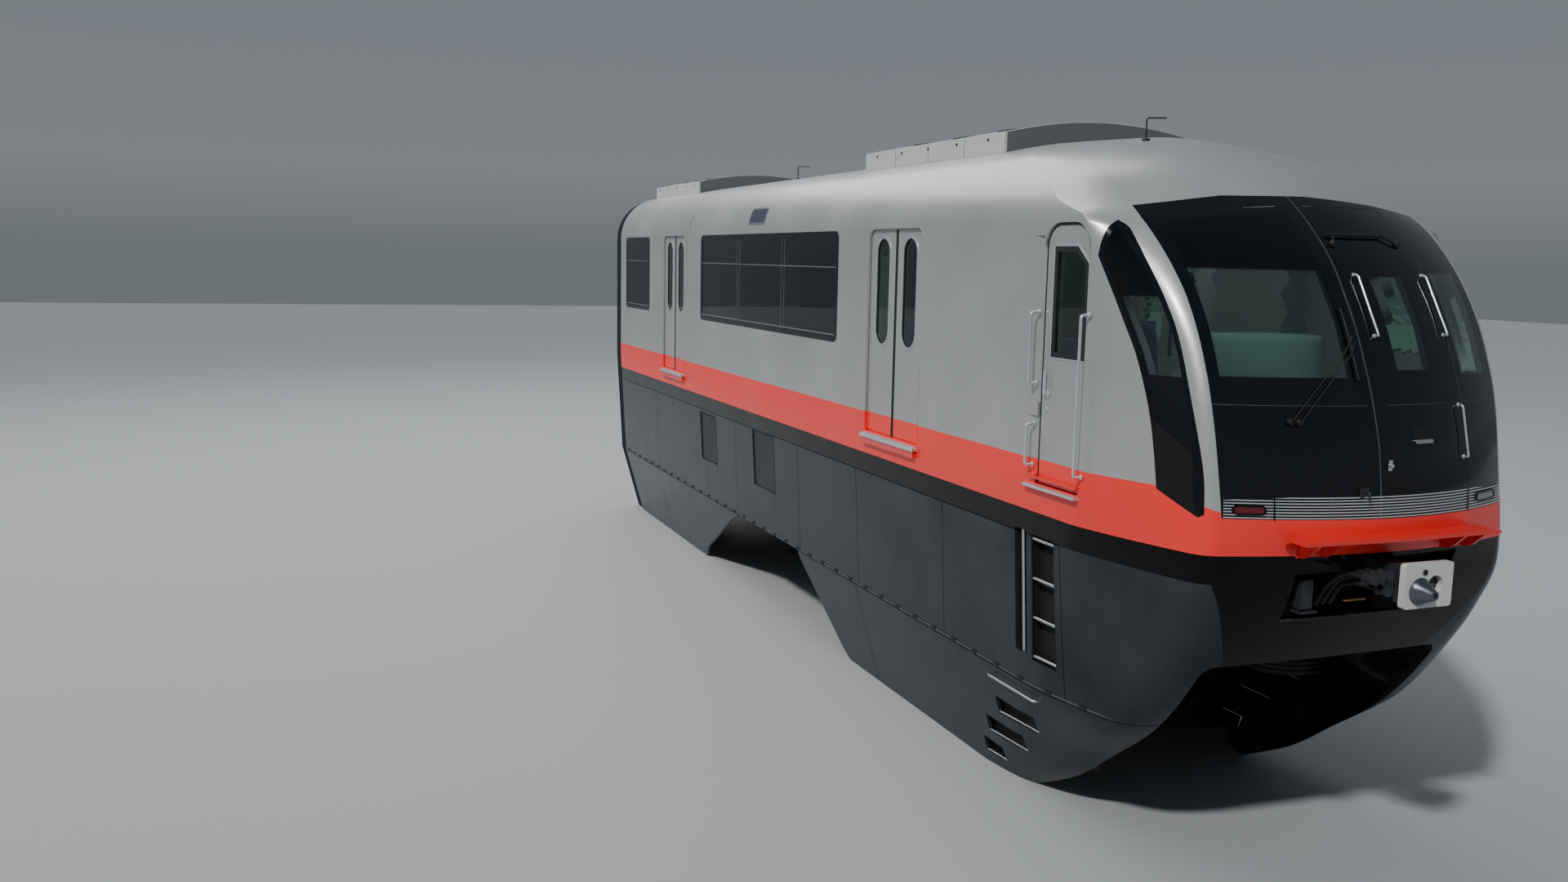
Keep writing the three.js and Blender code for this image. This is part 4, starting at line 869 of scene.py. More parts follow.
# %% Roof, rear end and front
roof = slice_of(shell, (front_of_end, -FAR, WALL_TOP), (MASK_X, FAR, FAR))
rear = slice_of(outer, (REAR_X, -FAR, SILL_Z), (REAR_X + END_T, FAR, FAR))
gangway = rounded(-GANGWAY_HALF, GANGWAY_HALF, FLOOR_TOP, GANGWAY_TOP, GANGWAY_R, 8, True)
boolean(rear, "DIFFERENCE", prism(gangway, REAR_X - 0.01, REAR_X + END_T + 0.01, "x"))
boolean(rear, "UNION", box((REAR_X - 0.340, -0.44, FLOOR_TOP - 0.05), (REAR_X + 0.001, 0.44, FLOOR_TOP)))
panel("rear_panel", rear, SILVER, "rear_end_wall")
mask = slice_of(shell, (MASK_X, -FAR, SILL_Z), (FAR, FAR, FAR))
screens = (smooth_outline(SCREEN_RIGHT), smooth_outline(SCREEN_LEFT), ESCAPE_DOOR)
boolean(mask, "DIFFERENCE", *[prism(outline, MASK_X - 0.01, FAR, "x") for outline in screens],
        prism(smooth_outline(QUARTER), -FAR, FAR, "y"))
black_part = boolean(copy_of(mask), "INTERSECT", prism(BLACK_FACE, MASK_X - 0.01, FAR, "x"))
boolean(mask, "DIFFERENCE", prism(BLACK_FACE, MASK_X - 0.01, FAR, "x"))
black_corners = boolean(copy_of(roof), "INTERSECT", prism(BLACK_FACE, BLACK_REAR_X, MASK_X, "x"))
boolean(roof, "DIFFERENCE", prism(BLACK_FACE, BLACK_REAR_X, FAR, "x"))
panel("roof_panel", roof, SILVER, "roof")
panel("front_panel", mask, SILVER, "front_mask")
panel("front_black_panel", black_part, BLACK)
panel("front_black_corners", black_corners, BLACK)

# %% [markdown]
# Below the sill hangs a skirt of thin sheet that hides the bogies. It is cut from its own lower form
# in the same way. Its seams are real grooves, cut with a thin layer of the same form, since a drawn
# line would not catch the light.

# %% Skirts and chin
SKIRT_T, SKIRT_FRONT_X, CHIN_T = 0.030, 6.165, 0.060
ARCH_HALF, ARCH_Z = 0.980, 0.120
SKIRT_TOP = SILL_Z - JOINT
FLAP_REAR = [(-6.45, LEDGE_Z), (-6.45, -1.4), (-3.12, -1.4), (-2.96, -1.35), (-2.78, -1.20),
             (-1.25, -0.52), (-0.84, LEDGE_Z)]
FLAP_FRONT = [(1.08, LEDGE_Z), (1.12, -0.50), (1.78, -1.28), (1.96, -1.40), (7.2, -1.40),
              (7.2, LEDGE_Z)]
# Holes in the skirt as x from, x to, z from, z to
LADDER, POLE = (5.800, 6.100, -0.180, 0.750), (5.575, 5.735, -0.160, 0.760)
STEP_HOLES = [(5.150, 5.680, -0.810, -0.670), (4.900, 5.435, -1.050, -0.905),
              (4.770, 5.060, -1.270, -1.140)]
VENTS = [(-2.25, -1.63, 0.10, 0.70), (-0.22, 0.46, 0.10, 0.73)]
SEAM_W, SEAM_DEEP = 0.009, 0.014
SKIRT_SEAMS_X, FLAP_SEAMS_X = (-4.43, -2.04, -0.87, 1.175, 2.69, 4.43), (2.6, -4.5955)
RECESS = [(-0.60, 0.47), (0.60, 0.47), (0.64, 0.89), (-0.64, 0.89)]

lower = ring_loft(LOWER, 0.0)
thin_skin = boolean(copy_of(lower), "DIFFERENCE", ring_loft([-1.5] + LOWER[:-1] + [1.0], SKIRT_T))
low_skin = SmoothForm(LOWER)
groove_layer = boolean(ring_loft([-1.4] + LOWER[1:-1] + [0.93], -0.01), "DIFFERENCE",
                       ring_loft([-1.5] + LOWER[1:-1] + [1.0], SEAM_DEEP))


def groove(x0, x1, z0, z1, y1=0):
    return slice_of(groove_layer, (x0, -FAR, z0), (x1, y1, z1))


skirt = slice_of(thin_skin, (-FAR, -FAR, -FAR), (FAR, -ARCH_HALF, SKIRT_TOP))
kept = boolean(box((-FAR, -FAR, LEDGE_Z), (SKIRT_FRONT_X, 0, FAR)), "UNION",
               *[prism(outline, -FAR, 0, "y") for outline in (FLAP_REAR, FLAP_FRONT)])
boolean(skirt, "INTERSECT", kept)
holes = [box((x0, -FAR, z0), (x1, 0, z1)) for x0, x1, z0, z1 in [LADDER, POLE] + STEP_HOLES + VENTS]
seams = [groove(x - SEAM_W / 2, x + SEAM_W / 2, LEDGE_Z - 0.01, BAND_LOW) for x in SKIRT_SEAMS_X]
seams += [groove(x - SEAM_W / 2, x + SEAM_W / 2, -FAR, LEDGE_Z) for x in FLAP_SEAMS_X]
seams += [groove(-FAR, FAR, BAND_LOW - 0.004, BAND_LOW + 0.004),
          groove(-FAR, FAR, LEDGE_Z - 0.006, LEDGE_Z + 0.004)]
boolean(skirt, "DIFFERENCE", *holes, *seams)
skirt_left = mirrored(skirt)

chin = slice_of(lower, (SKIRT_FRONT_X + JOINT, -FAR, LEDGE_Z + JOINT), (FAR, FAR, SKIRT_TOP))
boolean(chin, "DIFFERENCE", ring_loft([-0.5] + [z for z in LOWER if -0.45 < z < 0.9] + [1.0], CHIN_T),
        prism(rounded(-ARCH_HALF, ARCH_HALF, -FAR, ARCH_Z, 0.09, 8), 0, FAR, "x"),
        prism(RECESS, 6, FAR, "x"),
        groove(SKIRT_FRONT_X, SKIRT_FRONT_X + SEAM_W, LEDGE_Z, BAND_LOW, FAR))
panel("skirt_right", skirt, SKIRT, "side_skirt_right", form=low_skin)
panel("skirt_left", skirt_left, SKIRT, "side_skirt_left", form=low_skin)
panel("chin_panel", chin, SKIRT, "nose_chin", form=low_skin)
print("skirt faces", len(skirt.data.polygons), "chin faces", len(chin.data.polygons))

# %% [markdown]
# The curved panes are thin layers of the same form, so they lie flush in their openings. Round each
# pane runs a black border, the printed edge that hides the glue on real glazing.

# %% Curved glass
glass_layer = boolean(copy_of(outer), "DIFFERENCE",
                      ring_loft([SILL_Z - 0.1] + UPPER[1:-1] + [UPPER[-1] + 0.05], GLASS_T))
for name, outline, border, zone, glass, node in (
        ("screen_right", smooth_outline(SCREEN_RIGHT), 0.035, (MASK_X, FAR, "x"), FRONT_GLASS,
         "windscreen_right"),
        ("screen_left", smooth_outline(SCREEN_LEFT), 0.035, (MASK_X, FAR, "x"), FRONT_GLASS,
         "windscreen_left"),
        ("escape_pane", ESCAPE_GLASS, 0.030, (MASK_X, FAR, "x"), FRONT_GLASS, "emergency_door_window"),
        ("quarter_pane_right", smooth_outline(QUARTER), 0.030, (-FAR, 0, "y"), CORNER_GLASS,
         "quarter_window_right"),
        ("quarter_pane_left", smooth_outline(QUARTER), 0.030, (0, FAR, "y"), CORNER_GLASS,
         "quarter_window_left")):
    clear = inset(outline, border)
    pane = boolean(copy_of(glass_layer), "INTERSECT", prism(clear, *zone))
    edge = boolean(copy_of(glass_layer), "INTERSECT", prism(inset(outline, 0.0005), *zone))
    boolean(edge, "DIFFERENCE", prism(clear, *zone))
    panel(name, pane, glass, node)
    panel(name + "_border", edge, BLACK)
escape_skin = slice_of(shell, (MASK_X, -FAR, SILL_Z), (FAR, FAR, FAR))
boolean(escape_skin, "INTERSECT", prism(inset(ESCAPE_DOOR, 0.0035), MASK_X, FAR, "x"))
boolean(escape_skin, "DIFFERENCE", prism(ESCAPE_GLASS, MASK_X, FAR, "x"))
panel("escape_door_panel", escape_skin, BLACK, "emergency_door")

# %% [markdown]
# Many solids are good enough as they come from the CAD model and only need their finish. Some that
# finer pieces replace further down get one as well.

# %% Finishes of the CAD solids
CAD_FINISHES = {
    PRIMER: ("underframe", "underfloor_equipment", "bogie_frame_front", "bogie_frame_rear"),
    CASTING: ("rear_drawbar",), COUPLER_STEEL: ("front_coupler",), RED: ("bumper_shelf",),
    BELLOWS: ("gangway_bellows",), CASING: ("ac_unit_front", "ac_unit_rear"),
    GLASS: ("window_mid_right", "window_mid_left", "window_rear_right", "window_rear_left"),
    LINING: ("cab_partition",), DARK_LINING: ("cab_desk",),
    CLOTH: ("driver_seat", "bench_right", "bench_left"),
    SILVER: ["cab_door_right", "cab_door_left"] + [n for n in frame["nodes"] if n.startswith("door_")],
    TYRE: [n for n in frame["nodes"] if "wheel" in n or "axle" in n]}
for material, names in CAD_FINISHES.items():
    for name in names:
        frame["nodes"][name].data.materials.clear()
        frame["nodes"][name].data.materials.append(material)
print("solids with a finish of their own", sum(len(names) for names in CAD_FINISHES.values()))

# %% [markdown]
# Rails, gaskets, lamps and wipers are small, but they tell the eye how large the car is. The helpers
# below make them in four ways: from a bent tube, from a turned profile, as a patch cut from the skin so
# that it follows the curve, and as copies that Geometry Nodes sets on a list of places.

# %% Pieces, plates and rings
SIDES = {"right": -1, "left": 1}


def joined(parts):
    """One mesh from several; the parts keep their own shapes."""
    work = bmesh.new()
    for part in parts:
        work.from_mesh(part.data)
        bpy.data.objects.remove(part)
    made = mesh_object([], [])
    work.to_mesh(made.data)
    work.free()
    return made


def piece(name, made, material, body=BODY, crease=50):
    """Names a mesh or a list of them, joined, and gives it its finish and the body that it rides on."""
    made = joined(made) if isinstance(made, list) else made
    mesh = made.data
    mesh.polygons.foreach_set("use_smooth", [True] * len(mesh.polygons))
    mesh.set_sharp_from_angle(angle=math.radians(crease))
    mesh.materials.clear()
    mesh.materials.append(material)
    made.name = name
    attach(made, body)
    return made


def between(side, inner, outer):
    """The two y values of a plate on one side of the car, the smaller one first."""
    return tuple(sorted((side * inner, side * outer)))


def plate(side, x0, x1, inner, outer, z0, z1):
    """A box on one side of the car, from `inner` to `outer` away from its middle."""
    low, high = between(side, inner, outer)
    return box((x0, low, z0), (x1, high, z1))


def ring(side, outline, hole, inner, outer):
    """A flat ring on one side of the car, between an outline and its hole."""
    return boolean(prism(outline, *between(side, inner, outer), "y"), "DIFFERENCE", prism(hole, -2, 2, "y"))


print("sides", SIDES)


# %% Tubes and turned parts
AXIS_R = 0.0005


def tube(points, radius, bend=0.0, steps=6):
    """A round bar along a line of points, its corners rounded by `bend`."""
    corners = [Vector(p) for p in points]
    path = [corners[0]]
    for before, here, after in zip(corners, corners[1:], corners[2:]):
        first = here + (before - here).normalized() * bend
        last = here + (after - here).normalized() * bend
        path += [first.lerp(here, i / steps).lerp(here.lerp(last, i / steps), i / steps)
                 for i in range(steps + 1)] if bend else [here]
    path.append(corners[-1])
    curve = bpy.data.curves.new("line", "CURVE")
    curve.dimensions = "3D"
    spline = curve.splines.new("POLY")
    spline.points.add(len(path) - 1)
    for point, place in zip(spline.points, path):
        point.co = (*place, 1.0)
    curve.bevel_depth, curve.bevel_resolution, curve.use_fill_caps = radius, 4, True
    holder = bpy.data.objects.new("line", curve)
    PIECES.objects.link(holder)
    bpy.context.view_layer.update()
    mesh = bpy.data.meshes.new_from_object(holder.evaluated_get(bpy.context.evaluated_depsgraph_get()))
    bpy.data.objects.remove(holder)
    bpy.data.curves.remove(curve)
    made = bpy.data.objects.new("part", mesh)
    PIECES.objects.link(made)
    return made


def lathe(profile, centre, along, steps=32):
    """A turned part: (radius, distance along the axis) points of a closed profile, round an axis."""
    def place(radius, turn, reach):
        a, b = radius * math.cos(turn), radius * math.sin(turn)
        x, y, z = {"x": (reach, a, b), "y": (b, reach, a), "z": (a, b, reach)}[along]
        return (centre[0] + x, centre[1] + y, centre[2] + z)
    vertices = [place(radius, 2 * math.pi * k / steps, reach) for k in range(steps)
                for radius, reach in profile]
    faces = [[v % len(vertices) for v in face] for face in quads(steps + 1, len(profile))]
    return face_outwards(mesh_object(vertices, faces))


def disc(radius, low, high, centre, along, steps=24):
    """A round plate or pin with a small chamfer."""
    edge = min(0.12 * radius, 0.3 * (high - low))
    profile = [(AXIS_R, low), (radius - edge, low), (radius, low + edge), (radius, high - edge),
               (radius - edge, high), (AXIS_R, high)]
    return lathe(profile, centre, along, steps)


def button(side, radius, thick, x, out, z):
    """A disc that lies on one side of the car."""
    return disc(radius, *between(side, out, out + thick), (x, 0, z), "y")


print("turned parts start", AXIS_R, "m from their axis")

# %% Patches of the skin and places on it
LAYERS = {}


def skin_layer(out, deep):
    """A thin layer of the body's form, from `out` outside the skin to `deep` inside it."""
    if (out, deep) not in LAYERS:
        core = ring_loft([UPPER[0] - 0.1] + UPPER[1:-1] + [UPPER[-1] + 0.05], deep)
        LAYERS[out, deep] = boolean(ring_loft(UPPER, -out), "DIFFERENCE", core)
    return LAYERS[out, deep]


def skin_patch(name, outline, along, out, deep, material, low, high, hole=None):
    """A plate that follows the skin inside an outline, with an opening if `hole` is given."""
    made = boolean(copy_of(skin_layer(out, deep)), "INTERSECT", prism(outline, low, high, along))
    if hole:
        boolean(made, "DIFFERENCE", prism(hole, low, high, along))
    skin_piece(name, made, material, reach=0.03)


def front_point(y, z, out=0.0):
    """A point on the front face, `out` ahead of it."""
    _, knee_x, knee_y, _, tip = nose_at(z)
    return (tip - (tip - knee_x) * (y / knee_y) ** 2 + out, y, z)


def side_y(x, z, set_in=0.0):
    """How far from the middle the side stands at a place on the car."""
    start, knee_x, knee_y = nose_at(z)[:3]
    half = half_width(z)
    if x > start:
        half -= (half - knee_y) * ((x - start) / (knee_x - start)) ** TAPER_POWER
    return half - set_in


print("front of the car at the stripe", round(front_point(0, STRIPE_FRONT)[0], 3))

# %% [markdown]
# Things that come in rows, such as clips, slats, straps and bolts, are set by one node group. It takes
# the places as points, the unit to be copied, how much the copies differ in size and a seed, so that
# the row can be changed in one number. A point may also carry a turn, for rows that go round the nose.

# %% Geometry Nodes group that copies a unit on to points
copies_group = bpy.data.node_groups.new("copies on points", "GeometryNodeTree")
SOCKETS = {}
for label, kind in (("Geometry", "Geometry"), ("Unit", "Object"), ("Size variation", "Float"),
                    ("Seed", "Int"), ("Material", "Material")):
    socket = copies_group.interface.new_socket(label, in_out="INPUT", socket_type="NodeSocket" + kind)
    SOCKETS[label] = socket.identifier
copies_group.interface.new_socket("Geometry", in_out="OUTPUT", socket_type="NodeSocketGeometry")
entry = add(copies_group, "NodeGroupInput").outputs
unit_info = add(copies_group, "GeometryNodeObjectInfo", {"Object": entry["Unit"]})
turn = add(copies_group, "GeometryNodeInputNamedAttribute", {"Name": "turn"}, data_type="FLOAT_VECTOR")
smallest, largest = (add(copies_group, MATH, {0: 1.0, 1: entry["Size variation"]}, operation=way)
                     for way in ("SUBTRACT", "ADD"))
size = add(copies_group, "FunctionNodeRandomValue",
           {"Min": smallest, "Max": largest, "Seed": entry["Seed"]}, data_type="FLOAT")
instances = add(copies_group, "GeometryNodeInstanceOnPoints",
                {"Points": entry["Geometry"], "Instance": unit_info.outputs["Geometry"], "Rotation": turn,
                 "Scale": size})
real = add(copies_group, "GeometryNodeRealizeInstances", {"Geometry": instances})
finished = add(copies_group, "GeometryNodeSetMaterial", {"Geometry": real, "Material": entry["Material"]})
add(copies_group, "NodeGroupOutput", {"Geometry": finished})


def copies(name, unit, places, material, body=BODY, variation=0.0, seed=1):
    """Copies of a unit modelled at the origin; a place is (x, y, z) or (x, y, z, turn about Z)."""
    made = mesh_object([p[:3] for p in places], [])
    turns = made.data.attributes.new("turn", "FLOAT_VECTOR", "POINT")
    turns.data.foreach_set("vector", [v for p in places for v in (0.0, 0.0, p[3] if len(p) > 3 else 0.0)])
    step = made.modifiers.new("copies", "NODES")
    step.node_group = copies_group
    values = {"Unit": unit, "Size variation": variation, "Seed": seed, "Material": material}
    for label, value in values.items():
        step[SOCKETS[label]] = value
    bpy.context.view_layer.update()
    result = bpy.data.meshes.new_from_object(made.evaluated_get(bpy.context.evaluated_depsgraph_get()))
    made.modifiers.clear()
    made.data = result
    bpy.data.objects.remove(unit)
    return piece(name, made, material, body)


print("node group", copies_group.name, "inputs", list(SOCKETS))

# %% [markdown]
# The flat side windows are bonded in black frames. Two slim light bars cross each one, the upper where
# the top part could be a hopper, and the long window has two dark mullions with a thin line on each edge.

# %% Frames of the side windows
FRAME_OUT, FRAME_IN = HALF_WIDTH + 0.003, HALF_WIDTH - 0.018
HOPPER_Z, LOWER_LINE_Z, BAR_T, BAR_INSET, MULLION_HALF, LINE_HALF = 2.584, 1.945, 0.009, 0.034, 0.042, 0.003
LIGHT_LOW, LIGHT_TOP = WINDOW_LOW + 0.040, WINDOW_TOP - 0.048
LIP, BORDER = 0.014, 0.048

for hand, side in SIDES.items():
    frames, bars = [], []
    for x0, x1 in WINDOWS.values():
        frames.append(ring(side, rounded(x0 - LIP, x1 + LIP, WINDOW_LOW - LIP, WINDOW_TOP + LIP, 0.074, 8),
                           rounded(x0 + BORDER, x1 - BORDER, LIGHT_LOW, LIGHT_TOP, 0.030, 8),
                           FRAME_IN, FRAME_OUT))
        bars += [plate(side, x0 + BAR_INSET, x1 - BAR_INSET, HALF_WIDTH, HALF_WIDTH + 0.0045,
                       z - BAR_T / 2, z + BAR_T / 2) for z in (HOPPER_Z, LOWER_LINE_Z)]
    for x in (WINDOWS["mid"][0] / 3, WINDOWS["mid"][1] / 3):
        frames.append(plate(side, x - MULLION_HALF, x + MULLION_HALF, HALF_WIDTH, FRAME_OUT,
                            LIGHT_LOW, LIGHT_TOP))
        bars += [plate(side, edge - LINE_HALF, edge + LINE_HALF, HALF_WIDTH, FRAME_OUT + 0.002,
                       LIGHT_LOW + 0.002, LIGHT_TOP - 0.002)
                 for edge in (x - MULLION_HALF, x + MULLION_HALF)]
    piece("window_frames_" + hand, frames, BLACK)
    piece("window_bars_" + hand, bars, ALUMINIUM)
print("windows framed on each side", len(WINDOWS))

# %% [markdown]
# Each sliding leaf has one tall window with round ends in a bright rim. Glass, rim and the rubber edge
# of the leaf are parts of the leaf, so they ride on its body and slide with it. They stay thin enough
# for the pocket in the wall that the leaf slides into.

# %% Sliding leaves
EYE_OFFSET, EYE_HALF, EYE_LOW, EYE_HIGH = 0.265, 0.130, 1.925, 2.850
# The rubber edge: how far from the middle of the doorway, how far out, and its foot and head
EDGE_FROM, EDGE_TO, EDGE_IN, EDGE_OUT, EDGE_FOOT, EDGE_HEAD = 0.003, 0.023, 1.4295, 1.4662, 1.137, 2.920


def eye(x, set_in):
    """The upright opening with round ends of a leaf's window, set in by a distance."""
    half = EYE_HALF - set_in
    return rounded(x - half, x + half, EYE_LOW + set_in, EYE_HIGH - set_in, half - 0.0005, 12)


for end, centre in DOOR_CENTRES.items():
    for hand, side in SIDES.items():
        for part, away in (("fore", 1), ("aft", -1)):
            leaf = f"door_{hand}_{end}_{part}"
            x = centre + away * EYE_OFFSET
            edges = sorted((centre + away * EDGE_FROM, centre + away * EDGE_TO))
            rim = ring(side, eye(x, -0.016), eye(x, 0.004), LEAF_OUT - 0.001, LEAF_OUT + 0.0045)
            piece(leaf + "_rim", rim, BRIGHT, leaf)
            gasket = ring(side, eye(x, 0.0), eye(x, 0.014), LEAF_OUT - 0.020, LEAF_OUT - 0.002)
            piece(leaf + "_gasket", gasket, RUBBER, leaf)
            pane = prism(eye(x, 0.010), *between(side, LEAF_OUT - 0.016, LEAF_OUT - 0.008), "y")
            piece(leaf + "_glass", pane, DOOR_GLASS, leaf)
            strip = plate(side, *edges, EDGE_IN, EDGE_OUT, EDGE_FOOT, EDGE_HEAD)
            piece(leaf + "_edge", strip, RUBBER, leaf)
    for hand, side in SIDES.items():
        outside = rounded(centre - DOOR_HALF - 0.012, centre + DOOR_HALF + 0.012, FLOOR_TOP - 0.006,
                          DOOR_TOP + 0.012, 0.102, 10, True)
        inside = rounded(centre - DOOR_HALF + 0.002, centre + DOOR_HALF - 0.002, FLOOR_TOP - 0.1,
                         DOOR_TOP - 0.002, 0.088, 10, True)
        jamb = ring(side, outside, inside, LEAF_OUT + 0.006, HALF_WIDTH + 0.0025)
        piece(f"doorway_jamb_{hand}_{end}", jamb, SILVER)

# %% [markdown]
# Below each doorway a stepped sill of bright metal sticks out on red brackets, and the cab door has a
# narrow shelf with grab rails on both sides. The rails are bent from one bar each, with round feet.

# %% Sills, steps and grab rails
SILL_HALF, RAIL_OUT, RAIL_R, RAIL_BEND = 0.545, 1.552, 0.0105, 0.026
# Plates of a sill as half length, inner and outer y, z from, z to
SILL_PLATES = ((SILL_HALF, 1.478, 1.530, 1.084, 1.104), (SILL_HALF - 0.01, 1.478, 1.512, 1.1035, 1.118),
               (SILL_HALF, 1.524, 1.532, 1.078, 1.108))
SILL_BRACKET = (SILL_HALF - 0.02, 1.482, 1.520, 1.020, 1.084)
# Grab rails as x, z from, z to
GRAB_RAILS = ((5.810, 1.255, 1.545), (5.810, 1.830, 2.325), (6.424, 1.260, 2.330))

for hand, side in SIDES.items():
    sills = [plate(side, x - half, x + half, *rest)
             for x in DOOR_CENTRES.values() for half, *rest in SILL_PLATES]
    piece("door_sills_" + hand, sills, BRIGHT)
    piece("cab_step_" + hand, plate(side, 5.750, 6.400, 1.478, 1.530, 1.100, 1.120), BRIGHT)
    piece("cab_threshold_" + hand, plate(side, 5.800, 6.400, 1.484, 1.522, 1.168, 1.183), RED)
    half, *rest = SILL_BRACKET
    brackets = [plate(side, x - half, x + half, *rest) for x in DOOR_CENTRES.values()]
    piece("sill_brackets_" + hand, brackets, RED)
    rails = []
    for x, low, high in GRAB_RAILS:
        near, out = side * (HALF_WIDTH - 0.006), side * RAIL_OUT
        line = [(x, near, low), (x, out, low), (x, out, high), (x, near, high)]
        rails.append(tube(line, RAIL_R, RAIL_BEND))
        rails += [button(side, 0.019, 0.007, x, HALF_WIDTH, z) for z in (low, high)]
    piece("grab_rails_" + hand, rails, BRIGHT)
print("grab rails on each side", len(GRAB_RAILS))

# %% [markdown]
# The cab door keeps its CAD solid. It gets its glass, a bright line and a black frame round the glass,
# a lever handle and a rubber edge, and all of them swing with the door.

# %% Cab doors
DOOR_OUT = 1.472
HANDLE_X, HANDLE_Z, LOCK_Z = 5.940, 1.765, 1.660
for hand, side in SIDES.items():
    door = "cab_door_" + hand
    for kind, outside, inside, near, far, material in (
            ("_window_frame", -0.027, 0.010, -0.014, 0.003, RUBBER),
            ("_window_line", -0.036, -0.026, -0.002, 0.004, BRIGHT)):
        piece(door + kind, ring(side, inset(CAB_GLASS, outside), inset(CAB_GLASS, inside),
                                DOOR_OUT + near, DOOR_OUT + far), material, door)
    pane = prism(inset(CAB_GLASS, 0.002), *between(side, DOOR_OUT - 0.016, DOOR_OUT - 0.010), "y")
    piece(door + "_glass", pane, DOOR_GLASS, door)
    piece(door + "_seal", ring(side, rounded(5.8585, 6.3845, 1.1385, 2.9265, 0.163, 10, True),
                               rounded(5.869, 6.374, 1.100, 2.916, 0.153, 10, True),
                               DOOR_OUT - 0.010, DOOR_OUT + 0.003), RUBBER, door)
    grip_y = side * (DOOR_OUT + 0.030)
    piece(door + "_handle", [
        tube([(HANDLE_X, side * DOOR_OUT, HANDLE_Z), (HANDLE_X, grip_y, HANDLE_Z),
              (HANDLE_X, grip_y, HANDLE_Z + 0.160)], 0.012, 0.016),
        button(side, 0.028, 0.008, HANDLE_X, DOOR_OUT, HANDLE_Z),
        button(side, 0.014, 0.006, HANDLE_X, DOOR_OUT, LOCK_Z)], BRIGHT, door)

# %% [markdown]
# Above the window a display sits in the curve of the roof, and a slim drain bar runs down above the
# rear door. Both are cut from a layer of the skin, so they follow its curve.

# %% Side display and drain bars
DISPLAY, DISPLAY_RIM = (-0.400, 0.100, 3.045, 3.195), (-0.418, 0.118, 3.027, 3.213)
DRAIN_BAR = (-2.748, -2.730, 3.010, 3.200)
for hand, zone in (("right", (-FAR, 0)), ("left", (0, FAR))):
    screen = rounded(*DISPLAY, 0.008)
    skin_patch("display_frame_" + hand, rounded(*DISPLAY_RIM, 0.02), "y", 0.009, 0.003,
               ALUMINIUM, *zone, screen)
    skin_patch("display_glass_" + hand, screen, "y", 0.007, 0.003, DISPLAY_GLASS, *zone)
    skin_patch("drain_bar_" + hand, rounded(*DRAIN_BAR, 0.006), "y", 0.006, 0.002, ALUMINIUM, *zone)
print("display at x", DISPLAY[:2])

# %% [markdown]
# The black face carries a vent of bright slats along its foot, a lamp at each end of it, thin joint
# lines where its panels meet, handrails, a latch and a handle on the escape door, and two wipers.

# %% Joint lines, vent and lamps of the front
def front_patch(name, outline, out, deep, material, hole=None):
    skin_patch(name, outline, "x", out, deep, material, MASK_X - 0.1, FAR, hole)


front_patch("joint_line", rectangle(-0.1515, -0.1445, 1.150, 3.125), 0.004, 0.002, MESH_METAL)
front_patch("door_edge_line", rectangle(0.6525, 0.6565, 1.840, 3.060), 0.003, 0.002, MESH_METAL)
level_zones = [box((MASK_X, y0, 1.8315), (FAR, y1, 1.8345))
               for y0, y1 in ((-1.147, -0.186), (-0.046, 0.467), (0.649, 1.135))]
level_lines = boolean(copy_of(skin_layer(0.0025, 0.002)), "INTERSECT", joined(level_zones))
piece("level_lines", level_lines, MESH_METAL)

VENT_LOW, VENT_PITCH, SLATS, SLAT_T, SLAT_DEEP = 1.160, 0.0178, 8, 0.0070, 0.005
vent_field = [(-1.118, 1.152), (1.118, 1.152), (1.118, 1.266), (0.700, 1.290), (0.0, 1.303),
              (-0.700, 1.290), (-1.118, 1.266)]
slat_section = rectangle(0.0005, SLAT_DEEP, -SLAT_T / 2, SLAT_T / 2)
slat = loft([[(front_point(y, VENT_LOW)[0] + ahead, y, rise) for ahead, rise in slat_section]
             for y in np.linspace(-1.117, 1.117, 33)])
foot_x = front_point(0, VENT_LOW)[0]
rows = [VENT_LOW + k * VENT_PITCH for k in range(SLATS)]
places = [(front_point(0, z)[0] - foot_x, 0, z) for z in rows]
slats = copies("vent_slats", face_outwards(slat), places, BRIGHT)
piece("vent_slats", boolean(slats, "INTERSECT", prism(vent_field, 6, FAR, "x")), BRIGHT)
front_patch("vent_posts", rectangle(-0.840, -0.832, 1.152, 1.288), 0.009, 0.001, BLACK)
front_patch("vent_post_left", rectangle(0.646, 0.654, 1.152, 1.290), 0.009, 0.001, BLACK)

LAMP_HALF, LAMP_RIM, LENS_GAP = 0.031, 0.012, 0.011
LAMPS = {"tail": (-1.075, -0.885, 1.208, RED_LENS), "marker": (0.745, 1.010, 1.225, CLEAR_LENS)}


def lamp_outline(y0, y1, z, set_in, slack):
    half = LAMP_HALF - set_in
    return rounded(y0 + set_in, y1 - set_in, z - half, z + half, half - slack, 10)


for name, (y0, y1, z, lens) in LAMPS.items():
    front_patch(name + "_lamp_bezel", lamp_outline(y0, y1, z, 0.0, 0.001), 0.014, 0.004, BLACK,
                lamp_outline(y0, y1, z, LAMP_RIM, 0.0015))
    front_patch(name + "_lamp_lens", lamp_outline(y0, y1, z, LENS_GAP, 0.0015), 0.011, 0.004, lens)
print("slats", SLATS, "lamps", list(LAMPS))

# %% Rails, latch and handle on the front
FRONT_RAIL_OUT = 0.038
